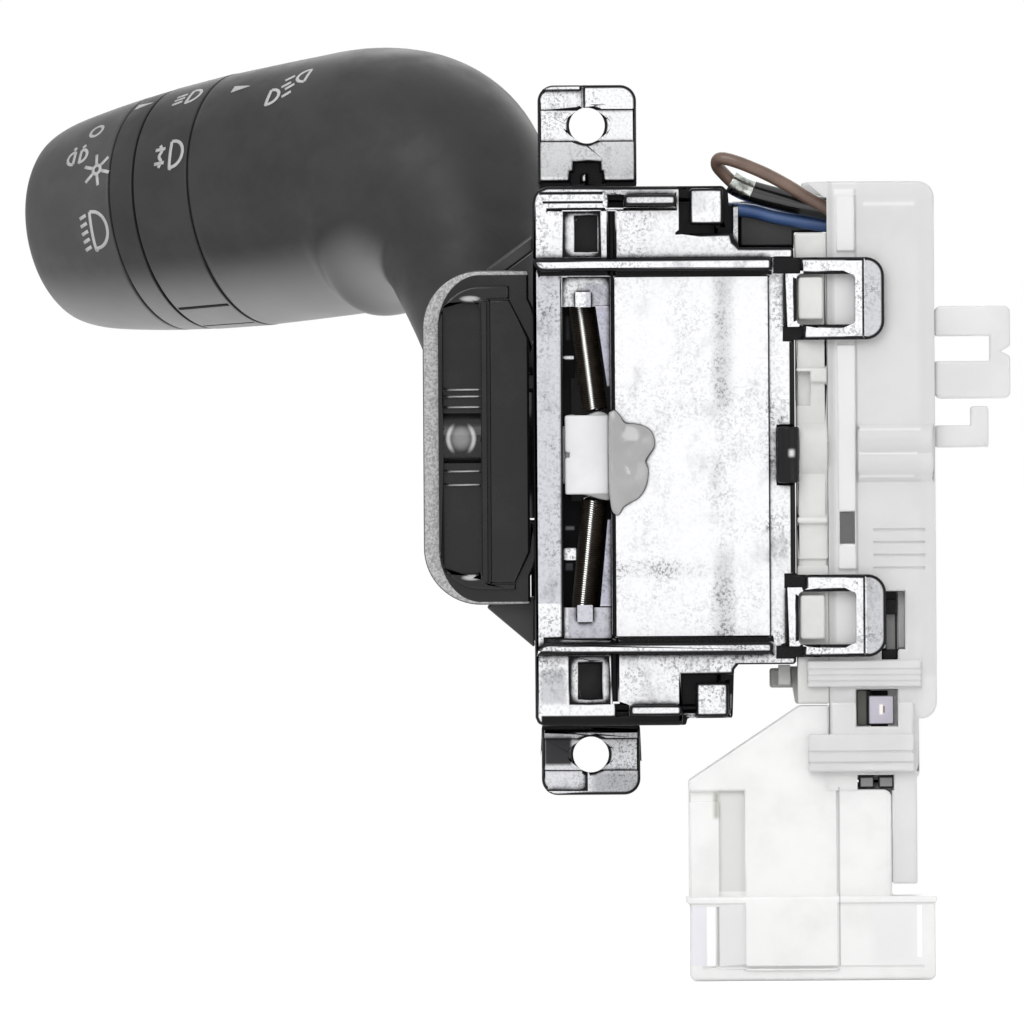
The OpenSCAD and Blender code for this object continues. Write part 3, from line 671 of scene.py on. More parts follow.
# painted light and shade on the cover: white highlight lines and strips on its rounded edges and bulge,
# greyer painted shade on its side wall, top band and bulge
COVER_PAINTED_LIGHT = (
    Patch((28.2, 28.75), (-25.0, 30.4), srgb(222, 222, 222), 0.15),
    Patch((29.0, 31.2), (-24.0, 29.3), srgb(254, 254, 254), 0.1),
    Patch((31.35, 31.6), (-24.0, 29.3), srgb(218, 218, 218), 0.08),
    Patch((38.9, 40.8), (-28.0, 30.4), srgb(230, 230, 231), 0.5),
    Patch((31.8, 40.8), (28.2, 30.6), srgb(232, 232, 233), 0.4),
    Patch((32.4, 38.4), (27.35, 27.75), srgb(255, 255, 255), 0.2),
    Patch((31.7, 40.4), (-4.4, 0.9), srgb(230, 230, 231), 0.5),
    Patch((31.7, 39.0), (0.9, 1.15), srgb(255, 255, 255), 0.12),
    Patch((31.7, 38.6), (-1.9, -1.65), srgb(255, 255, 255), 0.12),
    Patch((31.7, 38.2), (-4.6, -4.35), srgb(255, 255, 255), 0.12),
)
# painted light and shade on the socket: greyer painted shade on its recessed band, shroud, step and groove
# lines, and white highlight bars on its rounded corners
SOCKET_PAINTED_LIGHT = (
    Patch((15.0, 18.1), (-53.2, -41.2), srgb(220, 220, 219), 0.06),
    Patch((15.0, 18.1), (-61.9, -54.9), srgb(226, 226, 226), 0.08),
    Patch((29.02, 29.2), (-62.0, -41.0), srgb(190, 190, 190), 0.05),
    Patch((14.4, 15.0), (-44.6, -41.6), srgb(176, 178, 168), 0.35),
    Patch((11.2, 13.4), (-61.9, -54.9), srgb(228, 228, 234), 0.15),
    Patch((13.5, 14.6), (-61.9, -55.0), srgb(255, 255, 255), 0.06),
    Patch((14.7, 14.95), (-61.9, -55.0), srgb(196, 196, 196), 0.05),
    Patch((33.0, 38.1), (-61.9, -54.9), srgb(232, 232, 232), 1.0),
    Patch((38.2, 38.75), (-61.0, -54.9), srgb(255, 255, 255), 0.06),
)
# painted highlight on the black stop pin
STOP_PAINTED_HIGHLIGHT = (Patch((23.5, 24.1), (-2.1, -1.3), srgb(220, 220, 220), 0.25),)
# painted glints and dim reflections on the dark sheets in the slot
SLOT_PAINTED_GLINTS = (
    Patch((-2.75, -1.75), (9.5, 9.9), srgb(250, 250, 250), 0.08),
    Patch((-1.4, -1.15), (5.4, 5.7), srgb(210, 210, 210), 0.08),
    Patch((-2.6, -2.2), (11.8, 14.6), srgb(70, 70, 74), 0.2),
    Patch((-2.8, -1.8), (-10.55, -10.15), srgb(150, 150, 155), 0.15),
    Patch((-2.8, -1.6), (-14.1, -12.7), srgb(250, 250, 250), 0.08),
    Patch((-2.8, -2.0), (-15.3, -14.5), srgb(110, 110, 118), 0.15),
)
TERMINAL_PATCHES = (
    Patch((32.75, 35.55), (-33.55, -30.35), srgb(196, 192, 204), 0.1),
    # painted glint on the metal tab, white with a reddish edge
    Patch((33.95, 34.35), (-32.5, -31.3), srgb(255, 250, 244), 0.12),
    Patch((34.4, 34.55), (-32.3, -31.5), srgb(96, 60, 48), 0.08),
    Patch((31.35, 32.4), (-33.7, -29.7), srgb(110, 112, 106), 0.08),
    Patch((31.7, 33.1), (-40.95, -39.95), srgb(140, 140, 140), 0.06),
    Patch((33.95, 35.4), (-40.95, -39.95), srgb(140, 140, 140), 0.06),
    Patch((34.85, 35.85), (-24.85, -20.75), srgb(160, 160, 160), 0.08),
    Patch((36.1, 37.1), (-24.8, -17.9), srgb(186, 186, 186), 0.06),
)


class Finish:
    """The finishes of the whole switch, each built once when it is first asked for."""

    RECIPES = {
        # the frame's bright faces are a painted reflection, and its dark colour also paints shade
        "frame": BrightFace("frame_painted_reflection", srgb(244, 245, 247), srgb(206, 207, 213), srgb(120, 121, 124),
                            srgb(20, 20, 22), zones=FRAME_REFLECTION_TONES, lines=FRAME_PAINTED_SHADE_LINES),
        "case": Moulded("black_case", srgb(34, 34, 36), srgb(24, 24, 26), 0.34, 0.5, 0.01, 0.15),
        "holder": GuardPlate("guard_plate_black", srgb(22, 22, 23), srgb(190, 190, 190), srgb(200, 200, 200)),
        # the stalk and the knob take painted light from below on their undersides
        "stalk": Moulded("soft_grey_stalk", srgb(57, 57, 57), srgb(50, 50, 50), 0.5, 0.22, 0.014,
                         specular=0.22, under=srgb(158, 158, 158)),
        "knob": Moulded("soft_grey_knob", srgb(78, 78, 78), srgb(70, 70, 70), 0.5, 0.22, 0.014,
                        specular=0.28, under=srgb(150, 150, 150)),
        "gap": Moulded("gap_black", srgb(14, 14, 14), srgb(10, 10, 10), 0.6, specular=0.15),
        "base": Moulded("white_base", srgb(222, 223, 220), srgb(208, 209, 206), 0.4, 0.4, 0.008, 0.1, 0.3),
        "block": Moulded("white_block", srgb(236, 236, 238), srgb(224, 224, 226), 0.36, 0.4, 0.006, 0.1, 0.3),
        "cover": Clear("natural_cover", srgb(240, 240, 240), 0.25, 0.3, COVER_PAINTED_LIGHT),
        "clip": Clear("natural_clip", srgb(240, 240, 240), 0.25, 0.3),
        "socket": Moulded("milky_socket", srgb(240, 240, 239), srgb(230, 230, 229), 0.42, 0.5, 0.01, 0.1, 0.3,
                          patches=SOCKET_PAINTED_LIGHT),
        "stop": Moulded("black_stop", srgb(22, 22, 23), srgb(16, 16, 17), 0.3, specular=0.2,
                        patches=STOP_PAINTED_HIGHLIGHT),
        "slot": Moulded("slot_black_painted_glints", srgb(8, 8, 9), srgb(12, 12, 16), 0.4, specular=0.08,
                        patches=SLOT_PAINTED_GLINTS),
        "board": Moulded("contact_board", srgb(150, 120, 70), srgb(120, 92, 50), 0.5),
        "brown": Moulded("brown_insulation", srgb(118, 96, 84), srgb(92, 74, 64), 0.4, 0.3, 0.006, 0.1),
        "blue": Moulded("blue_insulation", srgb(84, 112, 164), srgb(62, 92, 144), 0.4, 0.3, 0.006, 0.1),
        "sleeve": Moulded("black_sleeve", srgb(20, 20, 21), srgb(12, 12, 13), 0.22, 0.4, 0.005, 0.6),
        # the spring wire's bright spots are painted highlights
        "steel": DarkWire("dark_spring_wire", srgb(38, 30, 22), srgb(255, 254, 250)),
        "pin": Metal("ground_pin", srgb(196, 198, 202), srgb(120, 120, 122), 0.28),
        "brass": Metal("contact_brass", srgb(214, 180, 112), srgb(160, 126, 70), 0.3),
        "dark": Moulded("dark_terminal", srgb(26, 26, 27), srgb(20, 20, 21), 0.3, specular=0.15,
                        patches=TERMINAL_PATCHES),
        "shine": Metal("sleeve_shine", srgb(208, 212, 206), srgb(60, 62, 60), 0.18),
        "grease": Moulded("white_grease", srgb(168, 168, 168), srgb(158, 158, 158), 0.16, 1.4, 0.06, 0.6,
                          0.4),
        "print": Moulded("white_print", srgb(196, 196, 195), srgb(176, 176, 175), 0.6, 0.3, 0.004),
    }
    _made: dict[str, bpy.types.Material] = {}

    @classmethod
    def get(cls, key: str) -> bpy.types.Material:
        """The material of one finish."""
        if key not in cls._made:
            cls._made[key] = cls.RECIPES[key].build()
        return cls._made[key]


def unit(vector: np.ndarray) -> np.ndarray:
    """Each vector divided by its length, along the last axis."""
    return vector / np.linalg.norm(vector, axis=-1, keepdims=True)


def smooth_path(points_mm: Sequence[Sequence[float]], count: int) -> np.ndarray:
    """A smooth curve through points, evenly spaced along its length.

    Between two points the curve is the Catmull-Rom cubic of the four nearest points; the fine curve
    is then read at equal steps of its summed length.

    Args:
        points_mm: the points, in millimetres.
        count: the number of points to return.

    Returns:
        An array of count points, in metres.
    """
    points = np.asarray(points_mm, float) * MM
    padded = np.vstack([2 * points[0] - points[1], points, 2 * points[-1] - points[-2]])
    t = np.linspace(0.0, 1.0, 24, endpoint=False)[None, :, None]
    a, b, c, d = (padded[i:len(padded) - 3 + i, None, :] for i in range(4))
    cubic = 0.5 * (2 * b + (c - a) * t + (2 * a - 5 * b + 4 * c - d) * t ** 2
                   + (3 * b - a - 3 * c + d) * t ** 3)
    fine = np.vstack([cubic.reshape(-1, 3), points[-1]])
    along = np.concatenate([[0.0], np.cumsum(np.linalg.norm(np.diff(fine, axis=0), axis=1))])
    steps = np.linspace(0.0, along[-1], count)
    return np.column_stack([np.interp(steps, along, fine[:, k]) for k in range(3)])


def frames(path: np.ndarray, up: Sequence[float]) -> tuple[np.ndarray, np.ndarray]:
    """Two directions across a path at each of its points.

    The first is the cross product of the up direction and the path's tangent, the second the cross
    product of the tangent and the first.

    Args:
        path: the points.
        up: a direction that the path never takes.

    Returns:
        The two arrays of unit vectors.
    """
    tangent = unit(np.gradient(path, axis=0))
    first = unit(np.cross(np.asarray(up, float), tangent))
    return first, np.cross(tangent, first)


class Piece:
    """Makes mesh objects from grids of points and puts them on the model's bodies.

    Attributes:
        SHARP_DEG: edges that bend more than this are rounded or stay sharp.
        FLAT_DEG: faces that bend less than this beside each other count as flat.
        EDGE_FACES: the faces across a rounded edge.
        ROOM: how many widths of flat face a rounded edge needs on each side.
        MERGE_M: how near points of a new mesh become one.
        WELD_M: how near points of a copied mesh become one.
        TOUCH_M: how near a point has to be to a surface to lie on it.
        ON_CUT_M: how near a point has to be to a cut to lie on it.
        SAME_WAY: the least cosine between the directions of faces that are joined.
    """

    SHARP_DEG: float = 28.0
    FLAT_DEG: float = 0.6
    EDGE_FACES: int = 3
    ROOM: float = 2.1
    MERGE_M: float = 1e-7
    WELD_M: float = 2e-6
    TOUCH_M: float = 1.5e-5
    ON_CUT_M: float = 1e-6
    SAME_WAY: float = 0.999995

    @staticmethod
    def faces(rows: int, columns: int, first: int = 0, ring: bool = False) -> list[list[int]]:
        """The faces of a grid whose last column joins its first.

        Args:
            rows: the number of rows of points.
            columns: the number of points in a row.
            first: the number of the grid's first point.
            ring: whether the last row joins the first; else both end rows are filled with one face each.

        Returns:
            The faces as lists of point numbers.
        """
        index = np.arange(rows * columns).reshape(rows, columns) + first
        wrapped = np.vstack([index, index[:1]]) if ring else index
        wrapped = np.hstack([wrapped, wrapped[:, :1]])
        quads = np.stack([wrapped[:-1, :-1], wrapped[:-1, 1:], wrapped[1:, 1:], wrapped[1:, :-1]], -1)
        ends = [] if ring else [index[0, ::-1].tolist(), index[-1].tolist()]
        return quads.reshape(-1, 4).tolist() + ends

    @staticmethod
    def grid(name: str, points: np.ndarray, ring: bool = False) -> bpy.types.Object:
        """Makes an object from a grid of points, with a UV map of rows along U and columns along V.

        Args:
            name: the piece's name.
            points: an array of shape (rows, columns, 3), in metres.
            ring: whether the last row joins the first.

        Returns:
            The object, with its place in its mesh.
        """
        rows, columns = points.shape[:2]
        mesh = bpy.data.meshes.new(name)
        mesh.from_pydata(points.reshape(-1, 3), [], Piece.faces(rows, columns, ring=ring))
        corners = np.empty(len(mesh.loops), np.int64)
        mesh.loops.foreach_get("vertex_index", corners)
        places = np.column_stack([corners // columns / max(rows - 1, 1), corners % columns / columns])
        mesh.uv_layers.new(name="UVMap").data.foreach_set("uv", places.astype(np.float32).ravel())
        mesh.update()
        return Piece.finish_mesh(name, mesh)

    @staticmethod
    def finish_mesh(name: str, mesh: bpy.types.Mesh) -> bpy.types.Object:
        """Closes doubles, points the faces outwards, smooths them and makes the object.

        Args:
            name: the piece's name.
            mesh: its mesh.

        Returns:
            The linked object.
        """
        made = bmesh.new()
        made.from_mesh(mesh)
        bmesh.ops.remove_doubles(made, verts=made.verts, dist=Piece.MERGE_M)
        bmesh.ops.recalc_face_normals(made, faces=made.faces)
        made.to_mesh(mesh)
        made.free()
        mesh.shade_smooth()
        piece = bpy.data.objects.new(name, mesh)
        bpy.context.scene.collection.objects.link(piece)
        return piece

    @staticmethod
    def dress(piece: bpy.types.Object, finish: str, body: Optional[Body], slot: str,
              replaces: Sequence[str] = ()) -> None:
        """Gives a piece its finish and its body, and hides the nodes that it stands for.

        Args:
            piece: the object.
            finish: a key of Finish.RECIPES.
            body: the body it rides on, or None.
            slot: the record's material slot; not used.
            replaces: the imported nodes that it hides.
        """
        if len(piece.data.materials) == 2:
            for index in range(2):
                piece.data.materials[index] = Finish.get(finish)
        else:
            piece.data.materials.clear()
            piece.data.materials.append(Finish.get(finish))
        if body is not None:
            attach(piece, body.value)
        if replaces:
            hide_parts(*replaces)
        LOG.info("%s: %d faces, %s", piece.name, len(piece.data.polygons), finish)

    @staticmethod
    def merged(name: str, grids: Sequence[np.ndarray]) -> bpy.types.Object:
        """Makes one object from several closed tubes of grid points.

        Args:
            name: the piece's name.
            grids: arrays of shape (rows, columns, 3), each closed round its columns and capped.

        Returns:
            The object.
        """
        faces, count = [], 0
        for points in grids:
            rows, columns = points.shape[:2]
            faces += Piece.faces(rows, columns, count)
            count += rows * columns
        mesh = bpy.data.meshes.new(name)
        mesh.from_pydata(np.concatenate([points.reshape(-1, 3) for points in grids]), [], faces)
        mesh.update()
        return Piece.finish_mesh(name, mesh)

    @staticmethod
    def tube(name: str, path: np.ndarray, radius: Union[float, np.ndarray], up: Sequence[float],
             sides: int = 16) -> bpy.types.Object:
        """Makes a round closed tube: each point of the path plus radius times (cos, sin) across it.

        Args:
            name: the piece's name.
            path: the points, in metres.
            radius: one radius, or one for each point.
            up: a direction that the path never takes.
            sides: the number of points round the tube.

        Returns:
            The object.
        """
        first, second = frames(path, up)
        turn = np.linspace(0.0, 2 * np.pi, sides, endpoint=False)
        ring = first[:, None] * np.cos(turn)[None, :, None] + second[:, None] * np.sin(turn)[None, :, None]
        radii = np.broadcast_to(np.asarray(radius, float), (len(path),))
        return Piece.grid(name, path[:, None] + radii[:, None, None] * ring)

    @staticmethod
    def prism(name: str, outline_mm: Sequence[tuple[float, float]],
              y_mm: tuple[float, float]) -> bpy.types.Object:
        """Makes a flat piece with the given outline.

        Args:
            name: the piece's name.
            outline_mm: the outline as pairs of X and Z.
            y_mm: its front and its back along Y.

        Returns:
            The object.
        """
        flat = np.asarray(outline_mm, float)
        sides = [np.column_stack([flat[:, 0], np.full(len(flat), y), flat[:, 1]]) for y in y_mm]
        piece = Piece.grid(name, np.stack(sides) * MM)
        piece.data.shade_flat()
        return piece

    @staticmethod
    def room(tree: BVHTree, edge: bmesh.types.BMEdge, width: float) -> bool:
        """Whether both faces beside an edge are wide enough for a rounded edge.

        At three places of the edge it steps into each face, square to the edge, by ROOM widths. The
        point reached has to lie on the surface still.

        Args:
            tree: the mesh's surface.
            edge: the edge.
            width: the width of the rounded edge, in metres.

        Returns:
            Whether every point reached lies on the surface.
        """
        for loop in edge.link_loops:
            start, end = loop.vert.co, loop.link_loop_next.vert.co
            inward = loop.face.normal.cross((end - start).normalized())
            for share in (0.08, 0.5, 0.92):
                reached = start.lerp(end, share) + inward * width * Piece.ROOM
                if tree.find_nearest(reached)[3] > Piece.TOUCH_M:
                    return False
        return True

    @staticmethod
    def join_flat(made: bmesh.types.BMesh, cuts_mm: Sequence[float],
                  joined: Callable[[Vector], bool]) -> None:
        """Joins the triangles of each flat face that has a single outline into one face.

        The mesh is first cut at the given places. A region then grows from a triangle to its
        neighbours while their directions agree and no cut lies between. Its outline is single where
        its vertices less its edges plus its faces make 1.

        Args:
            made: the mesh, changed in place.
            cuts_mm: places along X where faces are parted.
            joined: tells of a point whether faces there are joined.
        """
        for place in cuts_mm:
            everything = [*made.verts, *made.edges, *made.faces]
            bmesh.ops.bisect_plane(made, geom=everything, plane_co=(place * MM, 0, 0), plane_no=(1, 0, 0))
        made.faces.ensure_lookup_table()
        seen, regions = set(), []
        for seed in made.faces:
            if seed in seen:
                continue
            seen.add(seed)
            region, open_faces = [seed], [seed]
            while open_faces:
                for edge in open_faces.pop().edges:
                    if any(all(abs(v.co.x - place * MM) < Piece.ON_CUT_M for v in edge.verts)
                           for place in cuts_mm):
                        continue
                    for face in edge.link_faces:
                        if face not in seen and face.normal.dot(seed.normal) > Piece.SAME_WAY:
                            seen.add(face)
                            region.append(face)
                            open_faces.append(face)
            edges = {edge for face in region for edge in face.edges}
            verts = {vertex for face in region for vertex in face.verts}
            single = len(verts) - len(edges) + len(region) == 1
            if len(region) > 1 and single and all(joined(vertex.co) for vertex in verts):
                regions.append(region)
        for region in regions:
            bmesh.ops.dissolve_faces(made, faces=region, use_verts=False)

    @staticmethod
    def soften(node: str, name: str, width_mm: float, cuts_mm: Sequence[float] = (),
               joined: Optional[Callable[[Vector], bool]] = None,
               plain: Optional[Callable[[Vector], bool]] = None) -> bpy.types.Object:
        """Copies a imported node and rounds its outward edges.

        An edge is rounded by width_mm where both its faces have room for it, else by half of that,
        else by a quarter, and narrower ribs keep their edges. Rounded edges get material slot 1.

        Args:
            node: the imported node.
            name: the copy's name.
            width_mm: the width of the rounded edges.
            cuts_mm: places along X where flat faces round a hole are parted.
            joined: tells of a point whether the triangles of flat faces there are joined.
            plain: tells of an edge's middle whether the edge stays as it is.

        Returns:
            The copy with its edges rounded.
        """
        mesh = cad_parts[node].data.copy()
        mesh.materials.clear()
        for _ in range(2):
            mesh.materials.append(None)
        limit = math.radians(Piece.SHARP_DEG)
        made = bmesh.new()
        made.from_mesh(mesh)
        bmesh.ops.remove_doubles(made, verts=made.verts, dist=Piece.WELD_M)
        if joined is not None:
            Piece.join_flat(made, cuts_mm, joined)
        tree = BVHTree.FromBMesh(made)
        weight = made.edges.layers.float.new("bevel_weight_edge")
        for edge in made.edges:
            kept = plain is not None and plain((edge.verts[0].co + edge.verts[1].co) / 2)
            if not kept and edge.is_manifold and edge.is_convex and edge.calc_face_angle() > limit:
                fitting = [share for share in (1.0, 0.5, 0.25)
                           if Piece.room(tree, edge, width_mm * MM * share)]
                edge[weight] = max(fitting, default=0.0)
        for face in made.faces:
            bends = [edge.calc_face_angle() for edge in face.edges if edge.is_manifold]
            face.smooth = any(math.radians(Piece.FLAT_DEG) < bend < limit for bend in bends)
            face.material_index = 0
        made.to_mesh(mesh)
        made.free()
        if mesh.attributes.get("custom_normal") is not None:
            mesh.attributes.remove(mesh.attributes["custom_normal"])
        piece = bpy.data.objects.new(name, mesh)
        bpy.context.scene.collection.objects.link(piece)
        bevel = piece.modifiers.new("rounded edges", "BEVEL")
        bevel.width = width_mm * MM
        bevel.segments = Piece.EDGE_FACES
        bevel.limit_method = "WEIGHT"
        bevel.use_clamp_overlap = False
        bevel.loop_slide = False
        bevel.material = 1
        finished = piece.evaluated_get(bpy.context.evaluated_depsgraph_get())
        rounded_mesh = bpy.data.meshes.new_from_object(finished)
        piece.modifiers.clear()
        piece.data = rounded_mesh
        rounded_mesh.name = name
        Piece.part_shading(rounded_mesh, limit)
        return piece

    @staticmethod
    def part_shading(mesh: bpy.types.Mesh, limit: float) -> None:
        """Smooths the rounded edges of a mesh and keeps them apart from its flat faces.

        Args:
            mesh: the mesh, with its rounded edges in material slot 1.
            limit: edges that bend more than this angle stay sharp.
        """
        made = bmesh.new()
        made.from_mesh(mesh)
        for face in made.faces:
            face.smooth = face.smooth or face.material_index == 1
        for edge in made.edges:
            kinds = {face.material_index for face in edge.link_faces}
            bent = edge.is_manifold and edge.calc_face_angle() > limit and 1 not in kinds
            edge.smooth = len(kinds) < 2 and not bent
        made.to_mesh(mesh)
        made.free()


class StalkAxis:
    """The straight outer part of the stalk, which the rotary parts turn about.

    A point has a distance s_mm from where the rings start towards the tip, an angle from the side
    that faces the front and upwards, and a radius.
    """

    start = np.array([-39.0, 48.0, 29.0]) * MM
    along = unit(np.array([-0.83, 0.541, -0.128]))
    front = unit(np.array([0.0, -1.0, 0.0]) + along[1] * along)
    above = np.cross(along, front)

    @classmethod
    def at(cls, s_mm: np.ndarray, angle: np.ndarray, radius_mm: np.ndarray) -> np.ndarray:
        """Points in space: start + s along the axis + radius (cos front + sin above), in metres."""
        s, angle, radius = np.broadcast_arrays(np.asarray(s_mm, float), angle, radius_mm)
        across = np.cos(angle)[..., None] * cls.front + np.sin(angle)[..., None] * cls.above
        return cls.start + s[..., None] * MM * cls.along + radius[..., None] * MM * across

    @classmethod
    def revolve(cls, name: str, profile_mm: Sequence[tuple[float, float]],
                columns: int = 144) -> bpy.types.Object:
        """Turns a closed profile of (radius, s) pairs once round the axis.

        Args:
            name: the piece's name.
            profile_mm: the outline, in order, in millimetres.
            columns: the number of points round the axis.

        Returns:
            The object.
        """
        outline = np.asarray(profile_mm, float)
        angle = np.linspace(0.0, 2 * np.pi, columns, endpoint=False)[None, :]
        points = cls.at(outline[:, 1:2], angle, outline[:, 0:1])
        return Piece.grid(name, points, ring=True)


def rounded(outline_mm: Sequence[tuple[float, float]], radius_mm: float, steps: int = 4) -> np.ndarray:
    """Rounds the corners of a closed outline.

    At each corner P with neighbours A and B the curve runs from P + d (A - P) to P + d (B - P) as the
    quadratic (1 - t)^2 A' + 2 t (1 - t) P + t^2 B', where d keeps the cut within radius_mm and within
    0.45 of each edge.

    Args:
        outline_mm: the corners, in order.
        radius_mm: the length cut from each side of a corner.
        steps: the points along each rounded corner, less one.

    Returns:
        The rounded outline.
    """
    corner = np.asarray(outline_mm, float)
    before = np.roll(corner, 1, axis=0) - corner
    after = np.roll(corner, -1, axis=0) - corner
    length_before = np.linalg.norm(before, axis=1, keepdims=True)
    length_after = np.linalg.norm(after, axis=1, keepdims=True)
    cut = np.minimum(radius_mm, 0.45 * np.minimum(length_before, length_after))
    first = corner + before / length_before * cut
    last = corner + after / length_after * cut
    t = np.linspace(0.0, 1.0, steps + 1)[None, :, None]
    curve = (1 - t) ** 2 * first[:, None] + 2 * t * (1 - t) * corner[:, None] + t ** 2 * last[:, None]
    return curve.reshape(-1, 2)


def smooth_values(x: np.ndarray, xs: Sequence[float], ys: Sequence[float]) -> np.ndarray:
    """A smooth curve through given values.

    Between two given places it is the cubic with the values' own slopes at both ends, the slope at a
    place being the gradient of the given values there.

    Args:
        x: where to read the curve.
        xs: the given places, rising.
        ys: the values there.

    Returns:
        The curve at x.
    """
    xs, ys = np.asarray(xs, float), np.asarray(ys, float)
    slope = np.gradient(ys, xs)
    i = np.clip(np.searchsorted(xs, x) - 1, 0, len(xs) - 2)
    width = xs[i + 1] - xs[i]
    t = np.clip((x - xs[i]) / width, 0.0, 1.0)
    return ((2 * t ** 3 - 3 * t ** 2 + 1) * ys[i] + (t ** 3 - 2 * t ** 2 + t) * width * slope[i]
            + (3 * t ** 2 - 2 * t ** 3) * ys[i + 1] + (t ** 3 - t ** 2) * width * slope[i + 1])


def arc(center: tuple[float, float], radii: tuple[float, float], start_deg: float, end_deg: float,
        count: int = 13) -> np.ndarray:
    """Points of an ellipse arc: center + (radius cos, radius sin) of the angle."""
    turn = np.radians(np.linspace(start_deg, end_deg, count))
    return np.column_stack([center[0] + radii[0] * np.cos(turn), center[1] + radii[1] * np.sin(turn)])


class Mark(Enum):
    """The plain function marks printed on the stalk, each on its own place.

    The value holds the distance along the stalk, the angle and the size of the mark.
    """

    DIPPED_BEAM = (14.6, -2.6, 1.0)
    SIDE_LIGHTS = (14.0, 27.8, 1.0)
    PARKING = (17.6, 38.5, 0.8)
    OFF_RING = (15.9, 54.0, 0.8)
    FOG_REAR = (2.9, 27.0, 0.9)
    FOG_FRONT = (3.0, 62.5, 1.0)
    PAIR = (-12.6, 54.0, 1.0)
    BAND_INDEX = (10.15, 67.0, 1.0)
    SHELL_INDEX = (-5.1, 60.0, 1.0)

    def strokes(self) -> list[np.ndarray]:
        """The centre lines of the mark's strokes: first part towards the tip, second part upwards."""
        lamp = np.vstack([[0.5, 2.2], arc((0.2, 0.0), (2.1, 2.2), 90, 270, 15), [0.5, -2.2], [0.5, 2.2]])
        beams = [[[1.1, b], [2.1, b - 0.35]] for b in (1.9, 0.95, 0.0, -0.95, -1.9)]
        small_lamp = np.vstack([[0.3, 1.1], arc((0.2, 0.0), (1.2, 1.1), 90, 270, 9), [0.3, -1.1], [0.3, 1.1]])
        rays = [np.outer((0.55, 2.1), (math.cos(a), math.sin(a))) for a in np.radians(np.arange(20, 380, 60))]
        drawn = {
            Mark.DIPPED_BEAM: [lamp, *beams],
            Mark.SIDE_LIGHTS: [arc((0, 0), (0.55, 0.55), 0, 360, 13), *rays],
            Mark.PARKING: [small_lamp + [-0.9, 0], small_lamp * [-1, 1] + [0.9, 0],
                           [[-1.2, 1.9], [-0.6, 1.6]], [[1.2, 1.9], [0.6, 1.6]]],
            Mark.OFF_RING: [arc((0, 0), (1.1, 1.1), 0, 360, 17)],
            Mark.FOG_REAR: [lamp * 0.85 + [-0.7, 0],
                            [[1.6, 1.6], [1.2, 0.8], [1.6, 0.0], [1.2, -0.8], [1.6, -1.6]],
                            [[0.7, 1.0], [2.3, 1.0]], [[0.7, -1.0], [2.3, -1.0]]],
            Mark.FOG_FRONT: [small_lamp * 1.2 + [-0.6, 0.0],
                             *([[0.5, z], [1.9, z - 0.3]] for z in (0.8, 0.0, -0.8))],
            Mark.PAIR: [small_lamp * 1.1 + [1.9, -1.5], small_lamp * [-1.1, 1.1] + [-1.9, 1.5],
                        [[0.2, -1.9], [-0.9, -1.2]], [[0.2, -0.6], [-0.9, 0.1]],
                        [[0.9, -0.1], [-0.2, 0.6]], [[0.9, 1.2], [-0.2, 1.9]]],
        }
        return [np.asarray(stroke, float) for stroke in drawn.get(self, [])]

    def is_index(self) -> bool:
        """Whether the mark is a filled index triangle."""
        return self in (Mark.BAND_INDEX, Mark.SHELL_INDEX)


